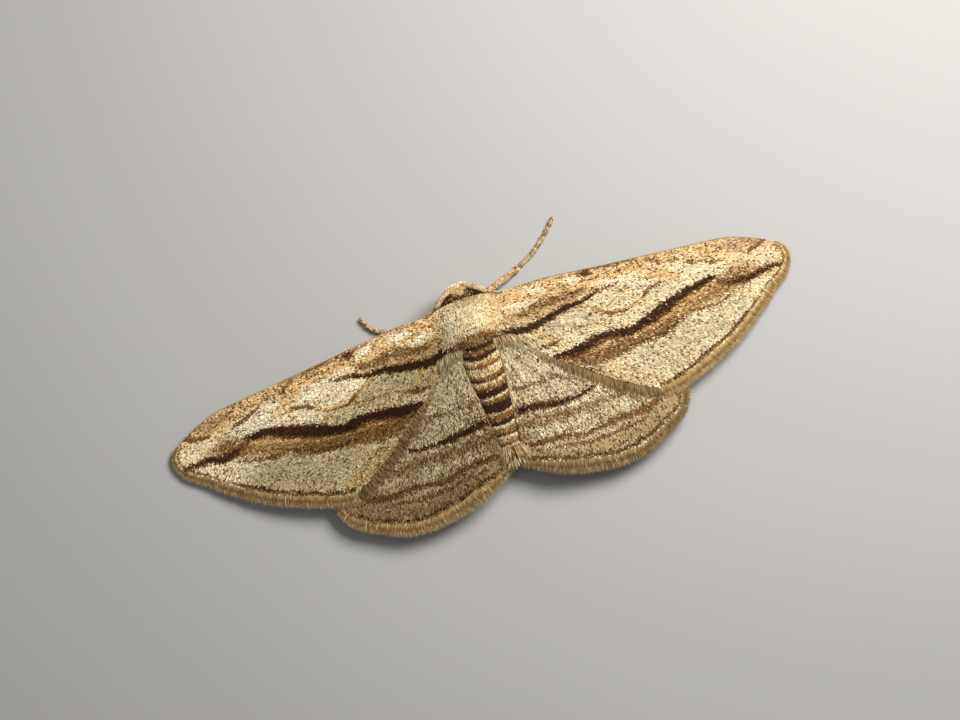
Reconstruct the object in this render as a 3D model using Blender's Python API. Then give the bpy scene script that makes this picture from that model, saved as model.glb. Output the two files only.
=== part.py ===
"""A geometer moth at rest, life size, with its narrow wings spread flat and its body on six legs.

The moth faces +Y with +X on its right side, and stands on the floor at Z = 0. All sizes below are
in millimetres and become metres where a mesh is made. Places are given from the moth's own zero,
in the middle of its chest, and the whole moth is then moved forward so that the middle of its
base box is the origin. The feelers are folded back under the forewings, the right foreleg reaches
forward, and the left one hooks out from under its wing.
"""

import math

import bmesh
import bpy
from mathutils import Vector

MM = 0.001

# Driving dimensions. The wings span 30.2 mm from tip to tip, fringes included.
HALF_SPAN = 15.1
CHEST_AHEAD = 2.7        # from the middle of the base box forward to the middle of the chest
WING_THICKNESS = 0.5
LIMB_RADIUS = 0.25
CLEARANCE = 0.3          # between a wing and what it lies over
SEAM = 0.12              # thin cuts through the head and body, which are under 3 mm wide
WING_STEP = WING_THICKNESS + CLEARANCE + 0.02

# The height of the middle of the forewing, from its root down to its tip and to the rear.
ROOT_X = 1.45
ROOT_HEIGHT = 2.6
OUTER_HEIGHT = 0.9
TIP_DROOP = 0.4          # the tip, past the hindwing, hangs this much lower
DROOP_START = 9.2
FALL_POWER = 1.6
REAR_LENGTH = 8.0
REAR_DROP = 0.5

# Colours of the coat and of the bare parts.
CREAM = (0.62, 0.50, 0.32)
TAN = (0.50, 0.37, 0.20)
UMBER = (0.30, 0.19, 0.09)
EYE_BROWN = (0.05, 0.03, 0.02)

# Wing outlines in plan for the right side, from the root to the apex, fringes included.
FOREWING_COSTA = [(1.45, 0.72), (2.2, 0.93), (4.0, 0.90), (7.0, 0.55), (10.0, 0.24), (12.6, -0.10),
                  (14.1, -0.65), (14.95, -1.45)]
FOREWING_HIND_EDGE = [(1.45, -0.95), (2.8, -2.4), (5.0, -4.55), (7.2, -6.0), (8.6, -6.25),
                      (11.0, -5.42), (13.2, -4.1), (14.6, -2.85), (15.0, -2.4)]
FOREWING_APEX = (HALF_SPAN, -1.95)
HINDWING_COSTA = [(1.3, -0.75), (3.0, -1.15), (5.2, -2.3), (7.2, -3.9), (8.5, -5.4)]
HINDWING_HIND_EDGE = [(0.9, -7.3), (1.5, -7.85), (2.4, -8.2), (3.7, -8.6), (4.9, -8.88), (6.1, -8.52),
                      (7.2, -8.1), (8.0, -7.75), (8.6, -7.0)]
HINDWING_APEX = (8.9, -6.25)
SPAN_STEPS = 30
CHORD_STEPS = 7

# Body sections: (y, half width, lowest z, highest z).
THORAX_SECTIONS = [(1.0, 0.50, 1.75, 2.70), (0.82, 0.85, 1.50, 3.00), (0.4, 1.12, 1.35, 3.28),
                   (-0.2, 1.16, 1.32, 3.32), (-0.7, 1.00, 1.38, 3.15), (-0.98, 0.82, 1.50, 2.85)]
ABDOMEN_SECTIONS = [(-1.1, 0.84, 1.35, 2.70), (-2.0, 0.92, 1.20, 2.65), (-3.0, 0.86, 1.10, 2.45),
                    (-4.2, 0.74, 0.98, 2.12), (-5.2, 0.62, 0.88, 1.82), (-6.0, 0.50, 0.82, 1.55)]
HEAD_SECTIONS = [(1.12, 0.52, 1.52, 2.42), (1.25, 0.76, 1.34, 2.56), (1.5, 0.82, 1.28, 2.54),
                 (1.74, 0.68, 1.34, 2.34), (1.94, 0.38, 1.50, 2.04)]
TUFT_SECTIONS = [(-6.12, 0.44, 0.86, 1.46), (-6.5, 0.40, 0.86, 1.34), (-6.9, 0.24, 0.90, 1.16),
                 (-7.1, 0.08, 0.96, 1.06)]
BODY_SIDES = 20
ABDOMEN_RINGS = 8
RING_BULGE = 0.04
RING_STEPS = 4

# Each eye is a ball flattened from side to side: half its width, length and height.
EYE_HALF_SIZE = (0.30, 0.46, 0.50)
EYE_CENTRE = (0.66, 1.46, 1.90)

# The feeler's way from the brow round the eye; the rest follows the underside of the forewing.
FEELER_FREE = [(0.28, 1.62, 2.84), (0.62, 1.52, 2.86), (1.04, 1.34, 2.52), (1.40, 1.12, 2.06)]
FEELER_UNDER_WING = [(2.0, 0.85), (3.6, 0.55), (5.4, 0.15), (7.0, -0.35)]

# Limbs for the right side: (x, y, z, radius) at each joint. An eight-sided foot laid flat on the
# floor has its middle at the height SOLE.
LIMB_SIDES = 8
SOLE = LIMB_RADIUS * math.cos(math.pi / LIMB_SIDES)
PALP = [(0.27, 1.35, 0.96, 0.20), (0.27, 1.70, 0.94, 0.25), (0.27, 2.04, 1.12, 0.21)]
LEG_FRONT_RIGHT = [(0.62, 0.52, 0.92, 0.30), (1.32, 1.10, 0.78, 0.29), (2.96, 1.68, SOLE, LIMB_RADIUS),
                   (3.90, 2.16, SOLE, LIMB_RADIUS), (4.62, 2.72, SOLE, LIMB_RADIUS),
                   (5.24, 3.36, SOLE, LIMB_RADIUS)]
LEG_FRONT_LEFT = [(0.62, 0.52, 0.92, 0.30), (1.32, 0.74, 0.78, 0.29), (2.60, 0.70, SOLE, LIMB_RADIUS),
                  (3.50, 0.78, SOLE, LIMB_RADIUS), (4.20, 1.06, SOLE, LIMB_RADIUS),
                  (4.58, 1.44, SOLE, LIMB_RADIUS), (4.74, 1.84, SOLE, LIMB_RADIUS)]
LEG_MIDDLE = [(0.70, -0.20, 0.92, 0.30), (2.00, 0.00, 0.86, 0.28), (4.00, 0.10, SOLE, LIMB_RADIUS),
              (5.20, 0.00, SOLE, LIMB_RADIUS), (6.40, -0.25, SOLE, LIMB_RADIUS)]
LEG_HIND = [(0.58, -0.95, 0.88, 0.30), (1.50, -1.70, 0.80, 0.28), (2.10, -3.30, SOLE, LIMB_RADIUS),
            (2.40, -4.20, SOLE, LIMB_RADIUS), (2.60, -5.10, SOLE, LIMB_RADIUS)]


def finish(name, colour, roughness):
    """A plain surface for one kind of part."""
    material = bpy.data.materials.new(name)
    material.use_nodes = True
    shader = material.node_tree.nodes["Principled BSDF"]
    shader.inputs["Base Color"].default_value = (*colour, 1.0)
    shader.inputs["Roughness"].default_value = roughness
    shader.inputs["Metallic"].default_value = 0.0
    return material


def smooth_line(points, count):
    """Count places, evenly spaced by parameter, on a Catmull-Rom curve through the points."""
    knots = [Vector(p) for p in points]
    ends = [2 * knots[0] - knots[1]] + knots + [2 * knots[-1] - knots[-2]]
    places = []
    for i in range(count):
        t = i / (count - 1) * (len(knots) - 1)
        k = min(int(t), len(knots) - 2)
        u = t - k
        before, start, end, after = ends[k:k + 4]
        places.append(0.5 * (2 * start + (end - before) * u
                             + (2 * before - 5 * start + 4 * end - after) * u ** 2
                             + (3 * start - before - 3 * end + after) * u ** 3))
    return places


def ease(value):
    """A smooth step from 0 to 1, held outside that range."""
    value = min(max(value, 0.0), 1.0)
    return value * value * (3 - 2 * value)


def wing_height(x, y):
    """Height of the forewing's middle: it falls from the root to the tip and towards the rear."""
    along = min(max((x - ROOT_X) / (HALF_SPAN - ROOT_X), 0.0), 1.0)
    fall = (1 - along) ** FALL_POWER * (1 - REAR_DROP * ease(-y / REAR_LENGTH))
    droop = TIP_DROOP * ease((x - DROOP_START) / (HALF_SPAN - DROOP_START))
    return OUTER_HEIGHT + (ROOT_HEIGHT - OUTER_HEIGHT) * fall - droop


def add_object(name, bm, material):
    """Makes one object from a mesh in millimetres, placed from the moth's own zero."""
    bmesh.ops.translate(bm, vec=(0, CHEST_AHEAD, 0), verts=bm.verts)
    bmesh.ops.scale(bm, vec=(MM, MM, MM), verts=bm.verts)
    bmesh.ops.recalc_face_normals(bm, faces=bm.faces)
    mesh = bpy.data.meshes.new(name)
    bm.to_mesh(mesh)
    bm.free()
    mesh.materials.append(material)
    mesh.shade_smooth()
    mesh.set_sharp_from_angle(angle=math.radians(40))
    obj = bpy.data.objects.new(name, mesh)
    bpy.context.scene.collection.objects.link(obj)
    return obj


def skin_rings(bm, rings):
    """Joins rings of equal length with quads and closes both ends with flat caps."""
    made = [[bm.verts.new(p) for p in ring] for ring in rings]
    sides = len(made[0])
    for ring, following in zip(made, made[1:]):
        for i in range(sides):
            j = (i + 1) % sides
            bm.faces.new((ring[i], ring[j], following[j], following[i]))
    bm.faces.new(made[0])
    bm.faces.new(list(reversed(made[-1])))


def section_ring(y, half_width, low, high):
    """An oval cross-section of the body, upright at y."""
    middle, half_height = (low + high) / 2, (high - low) / 2
    turns = [2 * math.pi * i / BODY_SIDES for i in range(BODY_SIDES)]
    return [(half_width * math.cos(a), y, middle + half_height * math.sin(a)) for a in turns]


def body_part(name, sections, material, steps, bulges=0):
    """A rounded length of body through its sections, with rings that bulge if it has any."""
    rings = []
    for i, (y, width, low, high) in enumerate(smooth_line(sections, steps)):
        swell = RING_BULGE * abs(math.sin(math.pi * bulges * i / (steps - 1)))
        rings.append(section_ring(y, width + swell, low - swell, high + swell))
    bm = bmesh.new()
    skin_rings(bm, rings)
    return add_object(name, bm, material)


def limb(name, line, material, mirror):
    """A round limb along points of (x, y, z, radius), eight-sided with a flat below."""
    centres = [Vector((mirror * x, y, z)) for x, y, z, _ in line]
    rings = []
    for i, centre in enumerate(centres):
        ahead = centres[min(i + 1, len(centres) - 1)] - centres[max(i - 1, 0)]
        across = ahead.cross(Vector((0, 0, 1))).normalized()
        up = across.cross(ahead).normalized()
        ring = []
        for k in range(LIMB_SIDES):
            turn = 2 * math.pi * (k + 0.5) / LIMB_SIDES
            place = centre + line[i][3] * (math.cos(turn) * across + math.sin(turn) * up)
            place.z = max(place.z, 0.0)
            ring.append(place)
        rings.append(ring)
    bm = bmesh.new()
    skin_rings(bm, rings)
    return add_object(name, bm, material)


def curved_limb(name, points, material, mirror, steps_between=3):
    """A limb that bends evenly through its points."""
    return limb(name, smooth_line(points, (len(points) - 1) * steps_between + 1), material, mirror)


def leg(name, joints, material, mirror):
    """A leg of straight lengths, each bend eased by two points close to its joint."""
    knots = [Vector(p) for p in joints]
    line = [knots[0]]
    for before, knee, after in zip(knots, knots[1:], knots[2:]):
        line.append(knee + (before - knee).normalized() * LIMB_RADIUS)
        line.append(knee + (after - knee).normalized() * LIMB_RADIUS)
    line.append(knots[-1])
    return limb(name, line, material, mirror)


def feeler(name, material, mirror):
    """A feeler from the brow round the eye, then back below the forewing."""
    below = WING_THICKNESS / 2 + CLEARANCE + LIMB_RADIUS
    hidden = [(x, y, wing_height(x, y) - below) for x, y in FEELER_UNDER_WING]
    points = [(*p, LIMB_RADIUS) for p in FEELER_FREE + hidden]
    return curved_limb(name, points, material, mirror)


def wing(name, costa, hind_edge, apex, lowered, material, mirror):
    """A flat wing between its front and hind edges, bent to the wing height and made thick."""
    front = smooth_line([*costa, apex], SPAN_STEPS + 1)
    rear = smooth_line([*hind_edge, apex], SPAN_STEPS + 1)
    bm = bmesh.new()

    def point(place):
        return bm.verts.new((mirror * place[0], place[1], wing_height(place[0], place[1]) - lowered))

    rows = [[point(ahead.lerp(behind, j / CHORD_STEPS)) for j in range(CHORD_STEPS + 1)]
            for ahead, behind in zip(front[:-1], rear[:-1])]
    tip = point(apex)
    for row, following in zip(rows, rows[1:]):
        for j in range(CHORD_STEPS):
            bm.faces.new((row[j], row[j + 1], following[j + 1], following[j]))
    for j in range(CHORD_STEPS):
        bm.faces.new((rows[-1][j], rows[-1][j + 1], tip))
    obj = add_object(name, bm, material)
    thick = obj.modifiers.new("thickness", "SOLIDIFY")
    thick.thickness = WING_THICKNESS * MM
    thick.offset = 0.0
    return obj


def eyeball(name, grown, material, mirror):
    """An eye, or the cutter for its socket, which is the eye grown on every side."""
    bm = bmesh.new()
    bmesh.ops.create_uvsphere(bm, u_segments=20, v_segments=12, radius=1.0)
    bmesh.ops.scale(bm, vec=[half + grown for half in EYE_HALF_SIZE], verts=bm.verts)
    bmesh.ops.translate(bm, vec=(mirror * EYE_CENTRE[0], *EYE_CENTRE[1:]), verts=bm.verts)
    return add_object(name, bm, material)


def cut_socket(head, side, mirror, material):
    """Hollows the head round one eye, so that the eye sits in it with a thin seam."""
    cutter = eyeball(f"socket_cutter_{side}", SEAM, material, mirror)
    cutter.hide_render = True
    cutter.display_type = "WIRE"
    cut = head.modifiers.new(f"socket_{side}", "BOOLEAN")
    cut.operation = "DIFFERENCE"
    cut.solver = "EXACT"
    cut.object = cutter


def build():
    """Makes the whole moth."""
    for obj in list(bpy.data.objects):
        bpy.data.objects.remove(obj)
    coat = finish("body_coat", CREAM, 0.8)
    scales = finish("wing_scales", TAN, 0.7)
    limbs = finish("limb_scales", UMBER, 0.7)
    eyes = finish("eye_facets", EYE_BROWN, 0.25)

    head = body_part("head", HEAD_SECTIONS, coat, steps=9)
    body_part("thorax", THORAX_SECTIONS, coat, steps=13)
    body_part("abdomen", ABDOMEN_SECTIONS, coat, ABDOMEN_RINGS * RING_STEPS + 1, ABDOMEN_RINGS)
    body_part("tail_tuft", TUFT_SECTIONS, coat, steps=7)

    forelegs = {"left": LEG_FRONT_LEFT, "right": LEG_FRONT_RIGHT}
    for side, mirror in (("left", -1), ("right", 1)):
        cut_socket(head, side, mirror, coat)
        eyeball(f"eye_{side}", 0.0, eyes, mirror)
        curved_limb(f"palp_{side}", PALP, limbs, mirror)
        feeler(f"feeler_{side}", limbs, mirror)
        wing(f"forewing_{side}", FOREWING_COSTA, FOREWING_HIND_EDGE, FOREWING_APEX, 0.0, scales, mirror)
        wing(f"hindwing_{side}", HINDWING_COSTA, HINDWING_HIND_EDGE, HINDWING_APEX, WING_STEP,
             scales, mirror)
        leg(f"leg_front_{side}", forelegs[side], limbs, mirror)
        leg(f"leg_middle_{side}", LEG_MIDDLE, limbs, mirror)
        leg(f"leg_hind_{side}", LEG_HIND, limbs, mirror)


build()
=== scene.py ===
"""The looks of a life-size geometer moth at rest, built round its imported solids.

One closed skin covers body, wings, legs and feelers. Over it lies the coat of scales, fringes and fur, all
solid mesh grown by Geometry Nodes. Places are in millimetres from the middle of the chest, +X to the moth's
right and +Y forward, and become metres in the frame through one `Ground` object.
"""

import logging
import math
from collections.abc import Callable, Sequence
from dataclasses import dataclass, field, replace
from enum import Enum

import bmesh
import bpy
import numpy as np
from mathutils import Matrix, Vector


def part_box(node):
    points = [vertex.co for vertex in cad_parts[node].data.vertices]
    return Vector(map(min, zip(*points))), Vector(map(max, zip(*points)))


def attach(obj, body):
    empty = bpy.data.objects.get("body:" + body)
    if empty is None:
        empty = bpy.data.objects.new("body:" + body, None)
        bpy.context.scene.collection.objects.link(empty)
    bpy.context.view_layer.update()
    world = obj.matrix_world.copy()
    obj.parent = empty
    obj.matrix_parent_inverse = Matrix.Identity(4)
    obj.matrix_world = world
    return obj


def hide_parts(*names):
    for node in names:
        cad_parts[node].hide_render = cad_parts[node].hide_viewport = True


log = logging.getLogger("moth")

Array = np.ndarray
Object = bpy.types.Object
Material = bpy.types.Material
Socket = bpy.types.NodeSocket
Node = bpy.types.Node
Tree = bpy.types.NodeTree
Pair = tuple[float, float]
Triple = tuple[float, float, float]
Quad = tuple[float, float, float, float]
Knots = Sequence[Sequence[float]]

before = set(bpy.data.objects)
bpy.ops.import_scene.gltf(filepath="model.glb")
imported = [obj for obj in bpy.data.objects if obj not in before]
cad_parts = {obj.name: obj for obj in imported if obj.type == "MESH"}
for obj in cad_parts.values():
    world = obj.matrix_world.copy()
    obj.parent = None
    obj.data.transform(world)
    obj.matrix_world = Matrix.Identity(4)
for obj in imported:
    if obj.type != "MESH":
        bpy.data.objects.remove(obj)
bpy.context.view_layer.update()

MM = 0.001
HALF_SPAN = 15.1          # of the solids, in the same millimetres as every place below
CHEST_FRONT = 1.0         # the front of the thorax, ahead of the middle of the chest
BODY = "root"


class Hue(Enum):
    """The colours that single scales come in, as linear red, green and blue."""

    WHITE = (0.84, 0.74, 0.52)
    CREAM = (0.76, 0.6, 0.35)
    GREY = (0.56, 0.48, 0.32)
    GOLD = (0.7, 0.43, 0.16)
    DUN = (0.4, 0.28, 0.14)
    TAN = (0.41, 0.24, 0.095)
    BROWN = (0.19, 0.088, 0.03)
    CHOCOLATE = (0.047, 0.02, 0.009)


WHITE, CREAM, GREY, GOLD, DUN, TAN, BROWN, CHOCOLATE = Hue


class Side(Enum):
    """The two sides of the moth."""

    LEFT = -1
    RIGHT = 1

    @property
    def word(self) -> str:
        """The side's name in piece and node names."""
        return self.name.lower()


@dataclass(frozen=True)
class Ground:
    """Turns the moth's own millimetres into metres in the frame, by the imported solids."""

    unit: float
    chest_y: float

    @classmethod
    def from_frame(cls) -> "Ground":
        """Reads the unit from the wings' span and the chest from the thorax."""
        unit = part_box("forewing_right")[1].x / HALF_SPAN
        return cls(unit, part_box("thorax")[1].y - CHEST_FRONT * unit)

    def place(self, points: Array) -> Array:
        """Moves points from the moth's millimetres to the frame.

        Args:
            points: An array of points, one in each row.

        Returns:
            The same points in metres in the frame.
        """
        moved = np.asarray(points, float) * self.unit
        moved[..., 1] += self.chest_y
        return moved


GROUND = Ground.from_frame()


# ------------ curves and noise


def smooth_line(knots: Knots, where: Array) -> Array:
    """Reads places off a Catmull-Rom curve.

    Args:
        knots: The points that the curve runs through.
        where: Shares of the way along, from 0 to 1, measured knot by knot.

    Returns:
        One row for each share.
    """
    points = np.asarray(knots, float)
    ends = np.vstack([2 * points[0] - points[1], points, 2 * points[-1] - points[-2]])
    along = np.clip(where, 0, 1) * (len(points) - 1)
    first = np.minimum(along.astype(int), len(points) - 2)
    u = (along - first)[:, None]
    before, start, end, after = (ends[first + k] for k in range(4))
    return 0.5 * (2 * start + (end - before) * u + (2 * before - 5 * start + 4 * end - after) * u ** 2
                  + (3 * start - before - 3 * end + after) * u ** 3)


def run_of(knots: Knots) -> tuple[Array, Array]:
    """Fine shares along the curve through the knots, and the share of its length gone at each."""
    fine = np.linspace(0, 1, 400)
    steps = np.diff(smooth_line(knots, fine)[:, :3], axis=0)
    gone = np.concatenate([[0], np.cumsum(np.linalg.norm(steps, axis=1))])
    return fine, gone / gone[-1]


def even_line(knots: Knots, where: Array) -> Array:
    """Reads places off the curve through the knots, evenly by length along it."""
    fine, gone = run_of(knots)
    return smooth_line(knots, np.interp(where, gone, fine))


def ease(value: Array | float, low: float = 0.0, high: float = 1.0) -> Array:
    """A smooth step from 0 at low to 1 at high."""
    share = np.clip((np.asarray(value, float) - low) / (high - low), 0, 1)
    return share * share * (3 - 2 * share)


def unit_rows(vectors: Array) -> Array:
    """Each row made one long."""
    return vectors / np.maximum(np.linalg.norm(vectors, axis=-1, keepdims=True), 1e-12)


def laid(ways: Array, up: Array, lift: float) -> Array:
    """Directions pressed flat on a surface, then raised off it a little."""
    flat = ways - up * np.sum(ways * up, axis=1, keepdims=True)
    return unit_rows(unit_rows(flat) + lift * up)


class Grain:
    """Smooth noise over the plane, the same each run."""

    SIZE = 128

    def __init__(self, seed: int) -> None:
        """Draws the lattice."""
        self.lattice = np.random.default_rng(seed).random((self.SIZE, self.SIZE))

    def at(self, x: Array, y: Array) -> Array:
        """Reads the noise, from 0 to 1 with a mean near a half, at points in lattice steps."""
        left, low = np.floor(x).astype(int), np.floor(y).astype(int)
        across, up = ease(x - left), ease(y - low)
        near = [[self.lattice[(left + i) % self.SIZE, (low + j) % self.SIZE] for j in (0, 1)] for i in (0, 1)]
        lower = near[0][0] * (1 - across) + near[1][0] * across
        upper = near[0][1] * (1 - across) + near[1][1] * across
        return lower * (1 - up) + upper * up


# ------------ markings


@dataclass(frozen=True)
class Streak:
    """A marking along a line, also used for painted shadow: each knot is (x, y, full width).

    A grainy streak colours whole scales, and a smooth one tints all of them a little.
    """

    hue: Hue
    strength: float
    knots: tuple[Triple, ...]
    softness: float = 0.35
    grainy: float = 0.85

    def cover(self, x: Array, y: Array, bold: float) -> Array:
        """How far the streak covers each point.

        Args:
            x: Distances from the middle line of the body.
            y: Distances ahead of the chest.
            bold: A factor on the streak's width.

        Returns:
            The cover at each point, from 0 to 1.
        """
        line = smooth_line(self.knots, np.linspace(0, 1, 8 * (len(self.knots) - 1) + 1))
        reach = line[:, 2].max() * bold
        at = np.column_stack([x, y])
        near = ((at > line[:, :2].min(axis=0) - reach) & (at < line[:, :2].max(axis=0) + reach)).all(axis=1)
        cover = np.zeros(len(x))
        at = at[near]
        best = np.zeros(len(at))
        for start, end in zip(line, line[1:]):
            run = end[:2] - start[:2]
            share = np.clip((at - start[:2]) @ run / max(run @ run, 1e-9), 0, 1)
            away = np.linalg.norm(at - start[:2] - share[:, None] * run, axis=1)
            half = np.maximum((start[2] + share * (end[2] - start[2])) * bold / 2, 1e-3)
            best = np.maximum(best, 1 - ease(away / half, 1 - self.softness, 1 + self.softness))
        cover[near] = best
        return cover * self.strength


def wash(hue: Hue, strength: float, *knots: Triple) -> Streak:
    """A wide, soft marking that tints the scales and hardly speckles them."""
    return Streak(hue, strength, knots, 0.7, 0.4)


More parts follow.
